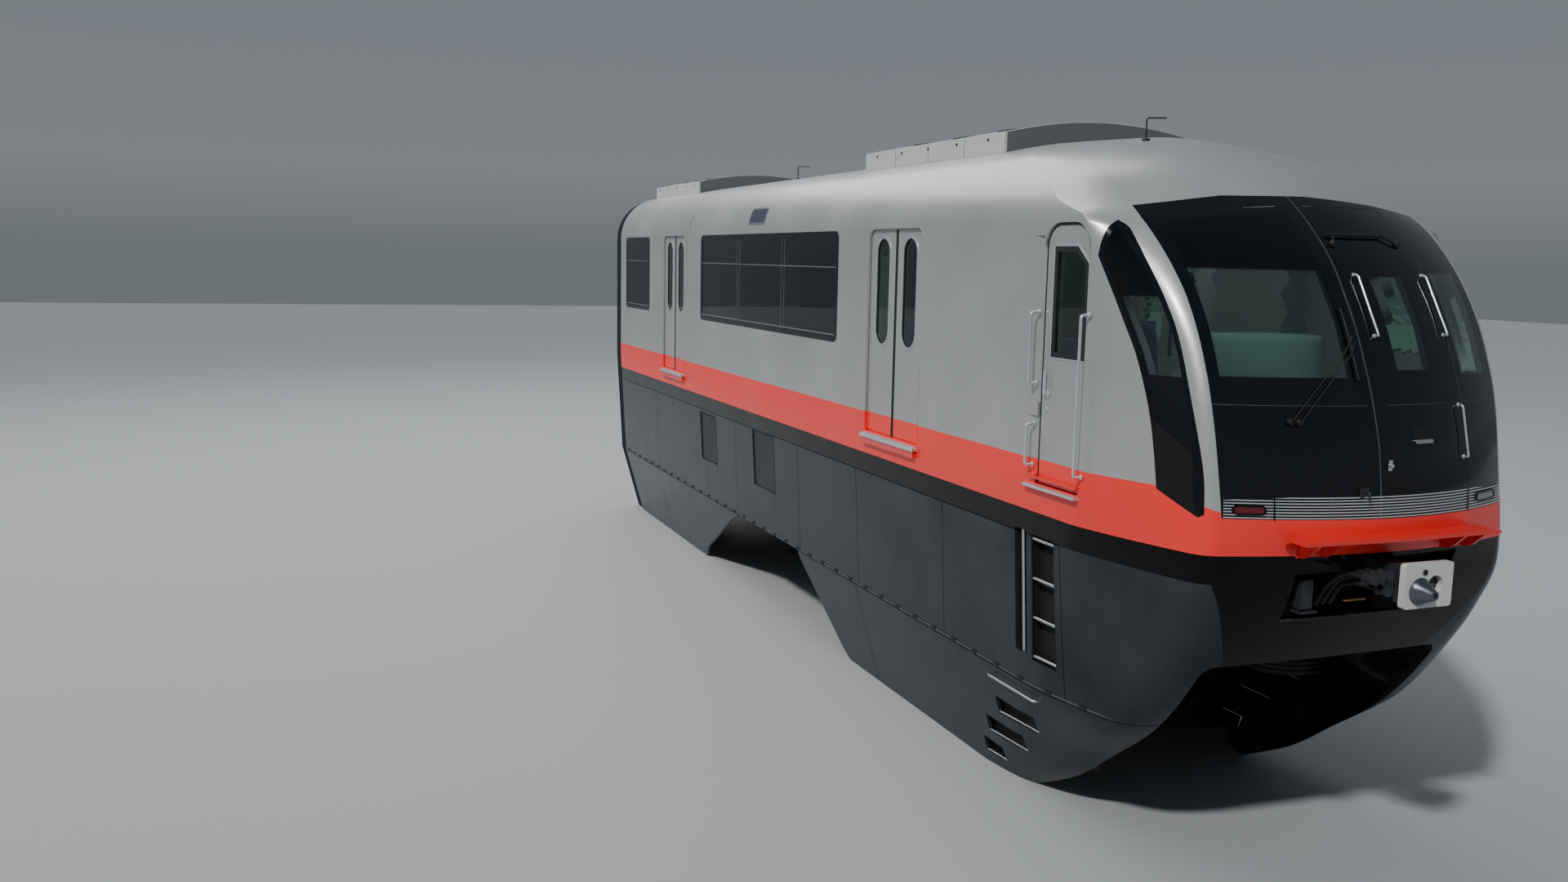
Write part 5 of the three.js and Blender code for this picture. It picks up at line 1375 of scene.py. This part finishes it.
# Rails as y, z from, z to, radius
FRONT_RAILS = ((0.617, 1.493, 1.816, 0.0075), (-0.020, 2.250, 2.625, 0.0080), (0.625, 2.250, 2.625, 0.0080))
rails = []
for y, low, high, radius in FRONT_RAILS:
    rails.append(tube([front_point(y, low), front_point(y, low, FRONT_RAIL_OUT),
                       front_point(y, high, FRONT_RAIL_OUT), front_point(y, high)], radius, 0.018))
    rails += [disc(0.014, 0.0, 0.009, front_point(y, z, -0.004), "x") for z in (low, high)]
piece("front_rails", rails, BRIGHT)
# The handle recess is not cut: a flat patch of painted shadow stands for it.
front_patch("door_handle_recess", rounded(0.140, 0.285, 1.615, 1.690, 0.020), 0.0015, 0.002, PAINTED_SHADOW)
front_patch("door_handle_lip", rounded(0.135, 0.290, 1.598, 1.622, 0.008), 0.016, 0.002, ALUMINIUM)
latch_at, hook_at = front_point(-0.077, 1.473), front_point(-0.270, 1.305)
piece("door_latch", [box((latch_at[0] - 0.004, -0.092, 1.440), (latch_at[0] + 0.010, -0.062, 1.506)),
                     disc(0.012, 0.0, 0.030, latch_at, "x")], ALUMINIUM)
piece("lamp_bracket", [
    box((hook_at[0] - 0.006, -0.300, 1.270), (hook_at[0] + 0.008, -0.240, 1.340)),
    tube([(hook_at[0] + 0.004, -0.270, 1.320), (hook_at[0] + 0.050, -0.270, 1.318),
          (hook_at[0] + 0.050, -0.270, 1.275)], 0.008, 0.016)], CASTING)
print("front rails", len(FRONT_RAILS))

# %% [markdown]
# A wiper is two thin parallel arms from two pivots below the glass, and a blade that lies upright by
# the middle joint. Above the escape door a second, level wiper rests on two pads.

# %% Wipers
ARMS = (((-0.723, 1.739), (-0.290, 2.165), (-0.222, 2.250)),
        ((-0.669, 1.734), (-0.255, 2.148), (-0.205, 2.225)))
arms = [tube([front_point(*foot, 0.030), front_point(*knee, 0.038), front_point(*tip, 0.034)], 0.0038, 0.02)
        for foot, knee, tip in ARMS]
arms += [disc(0.020, -0.004, 0.034, front_point(*arm[0]), "x") for arm in ARMS]
piece("wiper_arms", arms, RUBBER)
blade = [tube([front_point(-0.235, z, 0.020) for z in np.linspace(1.985, 2.420, 9)], 0.0055),
         tube([front_point(-0.222, 2.250, 0.034), front_point(-0.235, 2.205, 0.020)], 0.008)]
piece("wiper_blade", blade, RUBBER)
PADS = {(-0.071, 2.821): (-0.050, 2.872), (0.521, 2.826): (0.400, 2.876)}
upper = [tube([front_point(y, 2.880, 0.026) for y in np.linspace(-0.090, 0.410, 9)], 0.009)]
upper += [disc(0.022, -0.004, 0.028, front_point(*pad_at), "x") for pad_at in PADS]
upper += [tube([front_point(*pad_at, 0.026), front_point(*arm_end, 0.026)], 0.006)
          for pad_at, arm_end in PADS.items()]
piece("upper_wiper", upper, RUBBER)
print("wiper arms", len(ARMS) + len(PADS))

# %% [markdown]
# Under the nose a red shelf guards the coupler. Beside the coupler hang the air and brake couplings that
# mate with the next train. The bores of the coupler plate end in discs of painted shadow, so that they read
# as deep.

# %% Shelf and its brackets
SHELF_TOP, SHELF_T, SHELF_RIGHT, SHELF_LEFT = 1.052, 0.020, -0.802, 0.742
GUSSETS_Y, GUSSET_T, BACKS_Y = (-0.700, -0.530, 0.440, 0.600), 0.016, ((-0.720, -0.510), (0.420, 0.620))
shelf_plan = [(7.560, SHELF_RIGHT + 0.01), (7.766, SHELF_RIGHT), (7.795, -0.03), (7.758, SHELF_LEFT),
              (7.560, SHELF_LEFT - 0.01)]
gusset = [(7.590, 1.033), (7.770, 1.033), (7.690, 0.960), (7.640, 0.930), (7.590, 0.930)]
shelf = [prism(shelf_plan, SHELF_TOP - SHELF_T, SHELF_TOP, "z")]
shelf += [prism(gusset, y - GUSSET_T / 2, y + GUSSET_T / 2, "y") for y in GUSSETS_Y]
shelf += [box((7.586, y0, 0.926), (7.596, y1, 1.033)) for y0, y1 in BACKS_Y]
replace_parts(piece("shelf_plate", shelf, RED), "bumper_shelf")
print("shelf from y", SHELF_RIGHT, "to", SHELF_LEFT)

# %% Coupler
FACE_X = 7.920
CONE_AT, SOCKET_AT, PORT_AT = (FACE_X, -0.065, 0.752), (FACE_X, 0.052, 0.787), (FACE_X, -0.037, 0.868)
BORE_FLOOR = (-0.0445, -0.042)
coupler_face = prism(rounded(-0.187, 0.187, 0.648, 0.924, 0.022), FACE_X - 0.045, FACE_X, "x")
boolean(coupler_face, "DIFFERENCE", disc(0.058, -0.060, 0.010, SOCKET_AT, "x", 40),
        disc(0.020, -0.060, 0.010, PORT_AT, "x", 24))
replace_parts(piece("coupler_plate", coupler_face, PLATE_PAINT), "front_coupler")
cone = lathe([(AXIS_R, -0.020), (0.086, -0.020), (0.086, 0.004), (0.078, 0.016), (0.036, 0.096),
              (0.030, 0.112), (0.016, 0.114), (0.014, 0.100), (AXIS_R, 0.100)], CONE_AT, "x", 40)
port = lathe([(0.012, -0.030), (0.020, -0.030), (0.020, 0.004), (0.012, 0.004)], PORT_AT, "x", 24)
piece("coupler_cone", [cone, port], DARK_STEEL)
piece("coupler_shank", [box((7.300, -0.085, 0.703), (FACE_X - 0.040, 0.085, 0.873)),
                        disc(0.062, 7.051, 7.320, (0, 0, 0.788), "x", 32),
                        box((7.800, -0.150, 0.668), (FACE_X - 0.044, 0.150, 0.906))], CASTING)
# Painted shadow: a dark disc at the floor of each bore.
piece("coupler_bores", [disc(0.057, *BORE_FLOOR, SOCKET_AT, "x", 32),
                        disc(0.019, *BORE_FLOOR, PORT_AT, "x", 24)], PAINTED_SHADOW)
print("coupler face at", FACE_X)

# %% Air couplings and the recess
COUPLINGS_AT = ((-0.232, 0.838), (-0.292, 0.832), (-0.236, 0.742), (-0.345, 0.820))
coupling = [(AXIS_R, 0.0), (0.030, 0.0), (0.033, 0.014), (0.022, 0.020), (0.022, 0.060), (0.030, 0.066),
            (0.030, 0.092), (AXIS_R, 0.092)]
couplings = [lathe(coupling, (7.760, y, z), "x", 24) for y, z in COUPLINGS_AT]
couplings.append(box((7.770, -0.380, 0.785), (7.790, -0.190, 0.802)))
piece("air_couplings", couplings, CASTING)
piece("air_hoses", [tube([(7.765, y, z), (7.600, y, z), (7.460, y, 0.700), (7.380, y, 0.560)], 0.014, 0.060)
                    for y, z in COUPLINGS_AT], TYRE)
piece("recess_boxes", [box((7.400, -0.545, 0.560), (7.470, -0.455, 0.745)),
                       box((7.400, -0.560, 0.535), (7.490, -0.430, 0.548))], CASTING)
piece("recess_bar", box((7.480, -0.228, 0.596), (7.500, -0.062, 0.606)), SAFETY_PAINT)
lip = [front_point(y, 0.464, -0.004) for y in np.linspace(-0.600, 0.600, 13)]
piece("chin_lip", tube(lip, 0.009), CASTING)
print("air couplings", len(COUPLINGS_AT))

# %% [markdown]
# The skirt has painted mesh over its vents, a ladder and a lifting pole let into it, and steps cut near
# the nose. A thin strip with small clips runs along the ledge where the skirt turns in, and goes
# round the nose. The clips are copies that turn with the curve.

# %% Mesh over the vents of the skirt
# Bars 6 mm wide at a pitch of 16 mm are coarser than real mesh, so that it shows in a picture.
WIRE_R, MESH_PITCH, VENT_RIM = 0.0030, 0.016, 0.012
LEAN = (half_width(0.70) - half_width(0.10)) / 0.60


def leaning(side, x0, x1, z0, z1, near, far):
    """A plate that leans with the skirt, from `near` to `far` behind its outer face."""
    outline = [(side * (half_width(z) - step), z)
               for z, step in ((z0, near), (z1, near), (z1, far), (z0, far))]
    return prism(outline, x0, x1, "x")


def add_vents(hand, side):
    """The mesh, rims and dark backs of the vents on one side."""
    wires, backs, rims = [], [], []
    for x0, x1, z0, z1 in VENTS:
        levels = [z0 + k * MESH_PITCH for k in range(1, int((z1 - z0) / MESH_PITCH))]
        wires.append(copies("levels", box((0.0, -WIRE_R, -WIRE_R), (x1 - x0, WIRE_R, WIRE_R)),
                            [(x0, side * (half_width(z) - 0.014), z) for z in levels], MESH_METAL))
        shift, rise = side * LEAN * (z1 - z0), z1 - z0
        upright = prism([(0.0, 0.0), (2 * WIRE_R, 0.0), (2 * WIRE_R + shift, rise), (shift, rise)],
                        -WIRE_R, WIRE_R, "x")
        places = [(x0 + k * MESH_PITCH, side * (half_width(z0) - 0.017), z0)
                  for k in range(1, int((x1 - x0) / MESH_PITCH))]
        wires.append(copies("uprights", upright, places, MESH_METAL))
        backs.append(leaning(side, x0 - 0.02, x1 + 0.02, z0 - 0.01, z1 + 0.01, 0.050, 0.053))
        loop = rectangle(x0 - VENT_RIM, x1 + VENT_RIM, z0 - VENT_RIM, z1 + VENT_RIM)
        rims.append(tube([(x, side * (half_width(z) - 0.001), z) for x, z in loop + loop[:1]], 0.004))
    piece("vent_mesh_" + hand, wires, MESH_METAL)
    piece("vent_rims_" + hand, rims, SKIRT)
    piece("vent_backs_" + hand, backs, PRIMER)


print("vents on each side", len(VENTS), "with wires every", MESH_PITCH, "m")

# %% Ladder, pole and steps
RUNGS, RUNG_X, POLE_X = (-0.150, 0.140, 0.430, 0.720), (5.790, 6.110), 5.655
GRIP_X, GRIP_Z = (5.180, 5.850), -0.480


def add_steps(hand, side):
    """The ladder, the lifting pole, the steps and their grip, with painted shadow on the backs and side
    walls of their openings and on the ladder's stiles.
    """
    backs = []
    for x0, x1, z0, z1 in (LADDER, POLE):
        backs.append(leaning(side, x0 - 0.02, x1 + 0.02, z0 - 0.01, z1 + 0.01, 0.075, 0.079))
        backs += [leaning(side, x, x + 0.004, z0, z1, 0.028, 0.076) for x in (x0 - 0.004, x1)]
    backs += [leaning(side, x0 - 0.01, x1 + 0.01, z0 - 0.01, z1 + 0.01, 0.060, 0.063)
              for x0, x1, z0, z1 in STEP_HOLES]
    backs += [tube([(x, side * side_y(x, z, 0.006), z) for z in (-0.176, 0.280, 0.746)], 0.006)
              for x in (LADDER[0] + 0.006, LADDER[1] - 0.006)]
    # Backs, side walls and stiles all take painted shadow.
    piece("skirt_backs_" + hand, backs, PAINTED_SHADOW)
    bright = [tube([(x, side * side_y(x, z, 0.016), z) for x in RUNG_X], 0.012) for z in RUNGS]
    bright.append(tube([(POLE_X, side * (half_width(z) - 0.030), z) for z in (-0.158, 0.758)], 0.016))
    bright += [tube([(x, side * side_y(x, z0, 0.010), z0 + 0.010) for x in (x0, x1)], 0.010)
               for x0, x1, z0, _ in STEP_HOLES]
    bright.append(tube([(x, side * (half_width(GRIP_Z) + out), GRIP_Z) for x, out in (
        (GRIP_X[0], -0.004), (GRIP_X[0], 0.040), (GRIP_X[1], 0.038), (GRIP_X[1], -0.010))], 0.010, 0.030))
    piece("ladder_and_steps_" + hand, bright, STEEL)


for hand, side in SIDES.items():
    add_vents(hand, side)
    add_steps(hand, side)
print("ladder rungs", len(RUNGS), "step holes", len(STEP_HOLES))

# %% Ledge strip with clips
CLIP_PITCH, FIRST_CLIP = 0.350, 0.200
STRIP_SECTION = rectangle(0.000, 0.005, 0.010, 0.023)
ledge = [(x, y) for x, y in plan_ring(LEDGE_Z, 0.0) if y <= 0.0 and x > -6.45]
ledge = [(-6.440, -LEDGE_Y)] + [(x, y) for x, y in ledge if y <= -ARCH_HALF + 0.02 or x <= 6.0]
clip_places, travelled, next_at = [], 0.0, FIRST_CLIP
for (xa, ya), (xb, yb) in zip(ledge, ledge[1:]):
    length = math.hypot(xb - xa, yb - ya)
    while next_at < travelled + length:
        share = (next_at - travelled) / length
        clip_places.append((xa + (xb - xa) * share, ya + (yb - ya) * share, LEDGE_Z + 0.018,
                            math.atan2(yb - ya, xb - xa)))
        next_at += CLIP_PITCH
    travelled += length
sections = []
for before, (x, y), after in zip(ledge[:1] + ledge, ledge, ledge[1:] + ledge[-1:]):
    way = Vector((after[0] - before[0], after[1] - before[1])).normalized()
    sections.append([(x + way.y * out, y - way.x * out, LEDGE_Z + rise) for out, rise in STRIP_SECTION])
strip = face_outwards(loft(sections))
clip = box((-0.032, -0.012, -0.013), (0.032, 0.002, 0.013))
clips = copies("ledge_clips_right", clip, clip_places, RUBBER)
piece("ledge_strip_left", mirrored(strip), MESH_METAL)
piece("ledge_strip_right", strip, MESH_METAL)
piece("ledge_clips_left", mirrored(clips), RUBBER)
print("clips", 2 * len(clip_places))

# %% [markdown]
# On the roof stand two air conditioners. Their casings keep the CAD shape and get seams, lifting eyes drawn
# as discs of painted shadow, fan guards, and a plate in front painted darker as shade. Of two thin aerials
# one stands ahead of them and one between.

# %% Roof equipment
EYE_Z, CASING_TOP_Z = 3.655, 3.700
FAN_Y, FAN_Z, FAN_TILT, FAN_RINGS = 0.470, 3.787, 0.1, (0.215, 0.150, 0.060)
AERIALS = (((5.363, -0.371, 3.570), (5.363, -0.371, 3.742), (5.420, -0.240, 3.742)),
           ((-1.300, -0.560, 3.600), (-1.300, -0.560, 3.760), (-1.240, -0.430, 3.760)))


def crown_height(y):
    """The height of the roof's crown above a place across the car."""
    return CROWN_Z - CROWN_R + math.sqrt(CROWN_R ** 2 - y * y)


for name in ("ac_unit_front", "ac_unit_rear"):
    (x0, _, _), (x1, half, _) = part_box(name)
    seams = [plate(side, x - 0.002, x + 0.002, half - 0.002, half + 0.0015, 3.500, CASING_TOP_Z)
             for side in SIDES.values() for x in (x0 + (x1 - x0) * k / 4 for k in (1, 2, 3))]
    places = [(x0 + (x1 - x0) * (k + 0.5) / 5, side * (half + 0.002), EYE_Z)
              for k in range(5) for side in SIDES.values()]
    # Each lifting eye is a flat disc of painted shadow on the casing's side.
    copies(name + "_lifting_eyes", disc(0.012, -0.004, 0.004, (0, 0, 0), "y", 16), places, PAINTED_SHADOW)
    piece(name + "_seams", seams, CASTING)
    fans = []
    for x in (x0 + 0.55, (x0 + x1) / 2, x1 - 0.55):
        for side in SIDES.values():
            fan = joined([disc(r, -0.008, 0.003 - r * 0.002, (0, 0, 0), "z", 32) for r in FAN_RINGS])
            tilt = Matrix.Rotation(-side * FAN_TILT, 4, "X")
            fan.data.transform(Matrix.Translation((x, side * FAN_Y, FAN_Z)) @ tilt)
            fans.append(fan)
    piece(name + "_fans", fans, CASTING)
    across = np.linspace(-0.93, 0.93, 25)
    face = [(y, crown_height(y) + 0.003) for y in across]
    face += [(y, 3.812 - 0.12 * (y / half) ** 2) for y in across[::-1]]
    # A thin plate on each casing's front carries its painted shade.
    piece(name + "_front_plate", prism(face, x1 - 0.001, x1 + 0.004, "x"), SHADED_CASING_FRONT)
aerials = []
for foot, bend, tip in AERIALS:
    aerials += [tube([foot, bend, tip], 0.006, 0.020),
                disc(0.030, 0.0, 0.020, (*foot[:2], foot[2] + 0.002), "z")]
piece("roof_aerials", aerials, RUBBER)
print("aerials", len(AERIALS))

# %% [markdown]
# The bellows between two cars fold like a concertina, so the piece is a zigzag sheet in the shape of the
# car's own section. It hangs open below, where the beam passes.

# %% Bellows and the rear end
FOLDS, BELLOWS_REAR, BELLOWS_FRONT = 7, -6.800, -6.4503
FOLD_DEEP, FOLD_OUT, FOLD_IN = 0.078, 0.022, 0.047


def hoop(set_in):
    """The car's section without its foot, from the right skirt over the roof to the left."""
    half = [(SKIRT_BOTTOM_Y - set_in, SKIRT_BOTTOM_Z), (LEDGE_Y - set_in, LEDGE_Z),
            (HALF_WIDTH - set_in, FLOOR_TOP), (HALF_WIDTH - set_in, SHOULDER_Z)]
    for y, z, radius, angles in ((SHOULDER_Y, SHOULDER_Z, SHOULDER_R, range(10, 71, 10)),
                                 (0.0, CROWN_Z - CROWN_R, CROWN_R, (78, 81, 84, 87))):
        half += [(y + (radius - set_in) * math.cos(math.radians(a)),
                  z + (radius - set_in) * math.sin(math.radians(a))) for a in angles]
    return [(-y, z) for y, z in half] + [(0.0, CROWN_Z - set_in)] + half[::-1]


hoops = []
for k in range(2 * FOLDS + 1):
    x = BELLOWS_REAR + (BELLOWS_FRONT - BELLOWS_REAR) * k / (2 * FOLDS)
    valley = FOLD_DEEP * (k % 2)
    hoops.append([(x, y, z) for y, z in hoop(FOLD_OUT + valley) + hoop(FOLD_IN + valley)[::-1]])
count, last = len(hoops[0]), (len(hoops) - 1) * len(hoops[0])
faces = quads(len(hoops), count)
faces += [(start + i, start + i + 1, start + count - 2 - i, start + count - 1 - i)
          for start in (0, last) for i in range(count // 2 - 1)]
bellows = face_outwards(mesh_object([p for points in hoops for p in points], faces))
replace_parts(piece("bellows_folds", bellows, BELLOWS), "gangway_bellows")
frame_ring = prism(rounded(-0.52, 0.52, FLOOR_TOP - 0.01, 3.09, 0.14, 8, True), REAR_X - 0.030, REAR_X, "x")
way_through = rounded(-GANGWAY_HALF, GANGWAY_HALF, FLOOR_TOP - 0.05, GANGWAY_TOP, GANGWAY_R, 8, True)
boolean(frame_ring, "DIFFERENCE", prism(way_through, REAR_X - 1, REAR_X + 1, "x"))
piece("gangway_frame", frame_ring, ALUMINIUM)
tread = box((REAR_X - 0.338, -0.42, FLOOR_TOP), (REAR_X + 0.060, 0.42, FLOOR_TOP + 0.004))
piece("gangway_plate", tread, STEEL)
print("bellows folds", FOLDS)

# %% [markdown]
# The tyres are turned with their tread grooves, because they run on concrete like lorry tyres. Rims,
# hubs and bolts are steel. Each wheel turns with its own body, and the CAD wheel is replaced.

# %% Sections of tyres and rims
TREAD_DEEP, GROOVE_HALF = 0.012, 0.007


def tyre_profile(radius, bead, half_t, grooves):
    """Section of a tyre, from its inner side round the tread to its outer side."""
    crown = radius - 0.004
    side = [(bead, -half_t * 0.86), (bead + 0.3 * (radius - bead), -half_t),
            (radius - 0.040, -half_t * 0.97), (radius - 0.012, -half_t * 0.84)]
    tread = [(crown, -half_t * 0.74)]
    for k in range(grooves):
        middle = half_t * 1.25 * ((k + 0.5) / grooves - 0.5)
        top, bottom = radius - 0.001, radius - 0.001 - TREAD_DEEP
        tread += [(top, middle - GROOVE_HALF), (bottom, middle - GROOVE_HALF + 0.002),
                  (bottom, middle + GROOVE_HALF - 0.002), (top, middle + GROOVE_HALF)]
    tread.append((crown, half_t * 0.74))
    return side + tread + [(r, -h) for r, h in side[::-1]]


def rim_profile(bead, half_t, hub, hub_out):
    """Section of a dished rim with its flange and hub."""
    half = [(AXIS_R, -hub_out), (hub, -hub_out), (hub, -half_t * 0.35), (bead - 0.040, -half_t * 0.30),
            (bead - 0.030, -half_t * 0.88), (bead + 0.008, -half_t * 0.90)]
    return half + [(r, -h) for r, h in half[::-1]]


print("tread", TREAD_DEEP, "m deep")

# %% Wheels
# Tyre as radius, bead, half its width and grooves; rim as bead, half width, hub radius and half length;
# bolt as radius and half length
RUNNING = {"tyre": (0.501, 0.290, 0.146, 4), "rim": (0.290, 0.146, 0.110, 0.150), "steps": (48, 40),
           "bolt": (0.013, 0.0631), "circle": 0.150, "bolts": 10}
GUIDING = {"tyre": (0.363, 0.205, 0.090, 3), "rim": (0.205, 0.090, 0.095, 0.0995), "steps": (40, 32),
           "bolt": (0.010, 0.0397), "circle": 0.130, "bolts": 8}
RUNNING_Y, RUNNING_Z = 0.195, 0.503
wheel_count = 0
for node_name in list(frame["nodes"]):
    middle = [(a + b) / 2 for a, b in zip(*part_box(node_name))]
    if node_name.startswith("axle_"):
        kind, along = RUNNING, "y"
        centres = [(middle[0], side * RUNNING_Y, RUNNING_Z) for side in (-1, 1)]
        metal = [disc(0.060, -0.4295, 0.4295, (middle[0], 0, RUNNING_Z), "y")]
    elif "wheel" in node_name:
        kind, along, centres, metal = GUIDING, "z", [middle], []
    else:
        continue
    tyres = [lathe(tyre_profile(*kind["tyre"]), centre, along, kind["steps"][0]) for centre in centres]
    metal = [lathe(rim_profile(*kind["rim"]), centre, along, kind["steps"][1]) for centre in centres] + metal
    places = []
    for k in range(kind["bolts"]):
        turn = 2 * math.pi * k / kind["bolts"]
        a, b = kind["circle"] * math.cos(turn), kind["circle"] * math.sin(turn)
        places += [(x + a, y, z + b) if along == "y" else (x + a, y + b, z) for x, y, z in centres]
    bolt_r, bolt_out = kind["bolt"]
    bolt = disc(bolt_r, -bolt_out, bolt_out, (0, 0, 0), along, 6)
    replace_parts(piece(node_name + "_tyres", tyres, TYRE, node_name), node_name)
    piece(node_name + "_rims", metal, CASTING, node_name)
    copies(node_name + "_bolts", bolt, places, STEEL, node_name)
    wheel_count += len(tyres)
print("tyres", wheel_count)

# %% [markdown]
# Through the tinted windows the saloon shows as soft shapes: a floor, two lines of light, poles with
# straps and cushioned benches. The cushions are rounded pads, since they give way.

# %% Saloon
LIGHT_Y, AISLE_Y, RAIL_Z, RAIL_X = (-0.62, 0.62), (-0.86, 0.86), 3.000, (-6.30, 5.05)
LIGHTS_X, LIGHT_LONG, LIGHT_HALF = (-6.20, -4.75, -3.30, -1.85, -0.40, 1.05, 2.50, 3.70), 1.35, 0.075
LIGHT_DROP, LIGHT_GAP = 0.022, 0.002
POLES_X, HANGERS_X = (-4.45, -2.40, 2.40, 4.45), (-6.0, -4.2, -2.4, -0.6, 1.2, 3.0, 4.8)
STRAPS, STRAP_PITCH, FIRST_STRAP_X = 24, 0.45, -5.8
SEATS, SEAT_PITCH, FIRST_SEAT_X, SEAT_GAP = 10, 0.446, -2.230, 0.006


def pad(low, high, power=5.0, steps=8):
    """A cushion: a box whose edges are drawn round."""
    work = bmesh.new()
    bmesh.ops.create_cube(work, size=2.0)
    bmesh.ops.subdivide_edges(work, edges=work.edges, cuts=steps - 1, use_grid_fill=True)
    for vertex in work.verts:
        norm = sum(abs(c) ** power for c in vertex.co) ** (1 / power)
        vertex.co = [(a + b) / 2 + (b - a) / 2 * c / norm for a, b, c in zip(low, high, vertex.co)]
    made = mesh_object([], [])
    work.to_mesh(made.data)
    work.free()
    return made


piece("saloon_floor", box((REAR_X + 0.065, -1.388, FLOOR_TOP), (5.148, 1.388, FLOOR_TOP + 0.004)), FLOORING)
lights = [box((x, y - LIGHT_HALF, CEILING_Z - LIGHT_DROP),
              (x + LIGHT_LONG, y + LIGHT_HALF, CEILING_Z - LIGHT_GAP)) for x in LIGHTS_X for y in LIGHT_Y]
lights.append(box((5.500, -0.500, CAB_CEILING_Z - LIGHT_DROP), (6.200, 0.500, CAB_CEILING_Z - LIGHT_GAP)))
piece("ceiling_lights", lights, DIFFUSER)
poles = [tube([(x, y, FLOOR_TOP), (x, y, CEILING_Z - 0.02)], 0.016) for x in POLES_X for y in AISLE_Y]
poles += [tube([(x, y, RAIL_Z) for x in RAIL_X], 0.014) for y in LIGHT_Y]
poles += [tube([(x, y, RAIL_Z), (x, y, CEILING_Z - 0.005)], 0.010) for x in HANGERS_X for y in LIGHT_Y]
piece("saloon_poles", poles, STEEL)
strap = joined([tube([(0, 0, 0.012), (0, 0, -0.170)], 0.009),
                tube([(-0.055, 0, -0.170), (0.055, 0, -0.170), (0.040, 0, -0.270), (-0.040, 0, -0.270),
                      (-0.055, 0, -0.172)], 0.008, 0.012)])
places = [(FIRST_STRAP_X + STRAP_PITCH * k, y, RAIL_Z - 0.010) for k in range(STRAPS) for y in LIGHT_Y]
copies("hand_straps", strap, places, DARK_LINING, variation=0.03, seed=7)
for hand, side in SIDES.items():
    cushions = []
    for x in (FIRST_SEAT_X + SEAT_PITCH * k for k in range(SEATS)):
        for near, far, z0, z1 in ((0.945, 1.275, 1.515, 1.590), (1.285, 1.352, 1.560, 1.858)):
            low, high = between(side, near, far)
            cushions.append(pad((x + SEAT_GAP, low, z0), (x + SEAT_PITCH - SEAT_GAP, high, z1)))
    piece("bench_cushions_" + hand, cushions, CLOTH, crease=80)
print("seats", SEATS * len(SIDES))

# %% Cab
driver = [pad((5.500, -0.715, 1.560), (5.965, -0.285, 1.640)),
          pad((5.500, -0.700, 1.640), (5.610, -0.300, 2.240), 4.0)]
piece("driver_cushions", driver, CLOTH, crease=80)
HOOD_LOW, HOOD_HIGH, HOOD_TURN = (6.700, -1.040, 1.860), (6.930, -0.130, 2.240), 0.17
hood = pad(HOOD_LOW, HOOD_HIGH, 9.0)
for vertex in hood.data.vertices:
    vertex.co.x += HOOD_TURN * (vertex.co.y - HOOD_LOW[1])
piece("cab_console", [hood, box((6.620, -0.960, 1.868), (6.700, -0.300, 1.960))], CONSOLE)
piece("cab_floor", box((5.201, -1.180, FLOOR_TOP), (6.550, 1.180, FLOOR_TOP + 0.004)), FLOORING)
print("driver's seat and console in place")

# %% [markdown]
# Last, the finishes are grouped in named slots, and the shown pieces whose finish has a slot are
# counted.

# %% Slots
SLOT_OF = {
    "body_silver": (SILVER,), "skirt_grey": (SKIRT,), "black_gloss": (BLACK, RUBBER), "red_paint": (RED,),
    "bright_steel": (STEEL, ALUMINIUM, BRIGHT), "ac_casing": (CASING, SHADED_CASING_FRONT),
    "cast_steel": (CASTING, PRIMER, COUPLER_STEEL), "tyre": (TYRE,), "bellows": (BELLOWS,),
    "seat_cloth": (CLOTH,), "cab_lining": (LINING, DARK_LINING),
    "glass": (GLASS, DOOR_GLASS, FRONT_GLASS, CORNER_GLASS)}
slot_by_material = {m.name: slot_name for slot_name, materials in SLOT_OF.items() for m in materials}
tied = 0
for made in list(PIECES.objects) + list(frame["nodes"].values()):
    if made.type == "MESH" and made.parent and not made.hide_render and made.data.materials:
        name = made.data.materials[0].name
        if name in slot_by_material:
            tied += 1
print("pieces with a slot", tied)

# %% [markdown]
# The forms that were only tools for cutting go, and the box of the finished car is printed beside the
# box of its solids.

# %% Tools away, sizes, and the end
for form in (outer, shell, lower, thin_skin, groove_layer, glass_layer, *LAYERS.values()):
    bpy.data.objects.remove(form)
visual_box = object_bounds()
for kind, corners in (("CAD", cad_box), ("visual", visual_box)):
    print(kind, [[round(v, 3) for v in corner] for corner in corners])
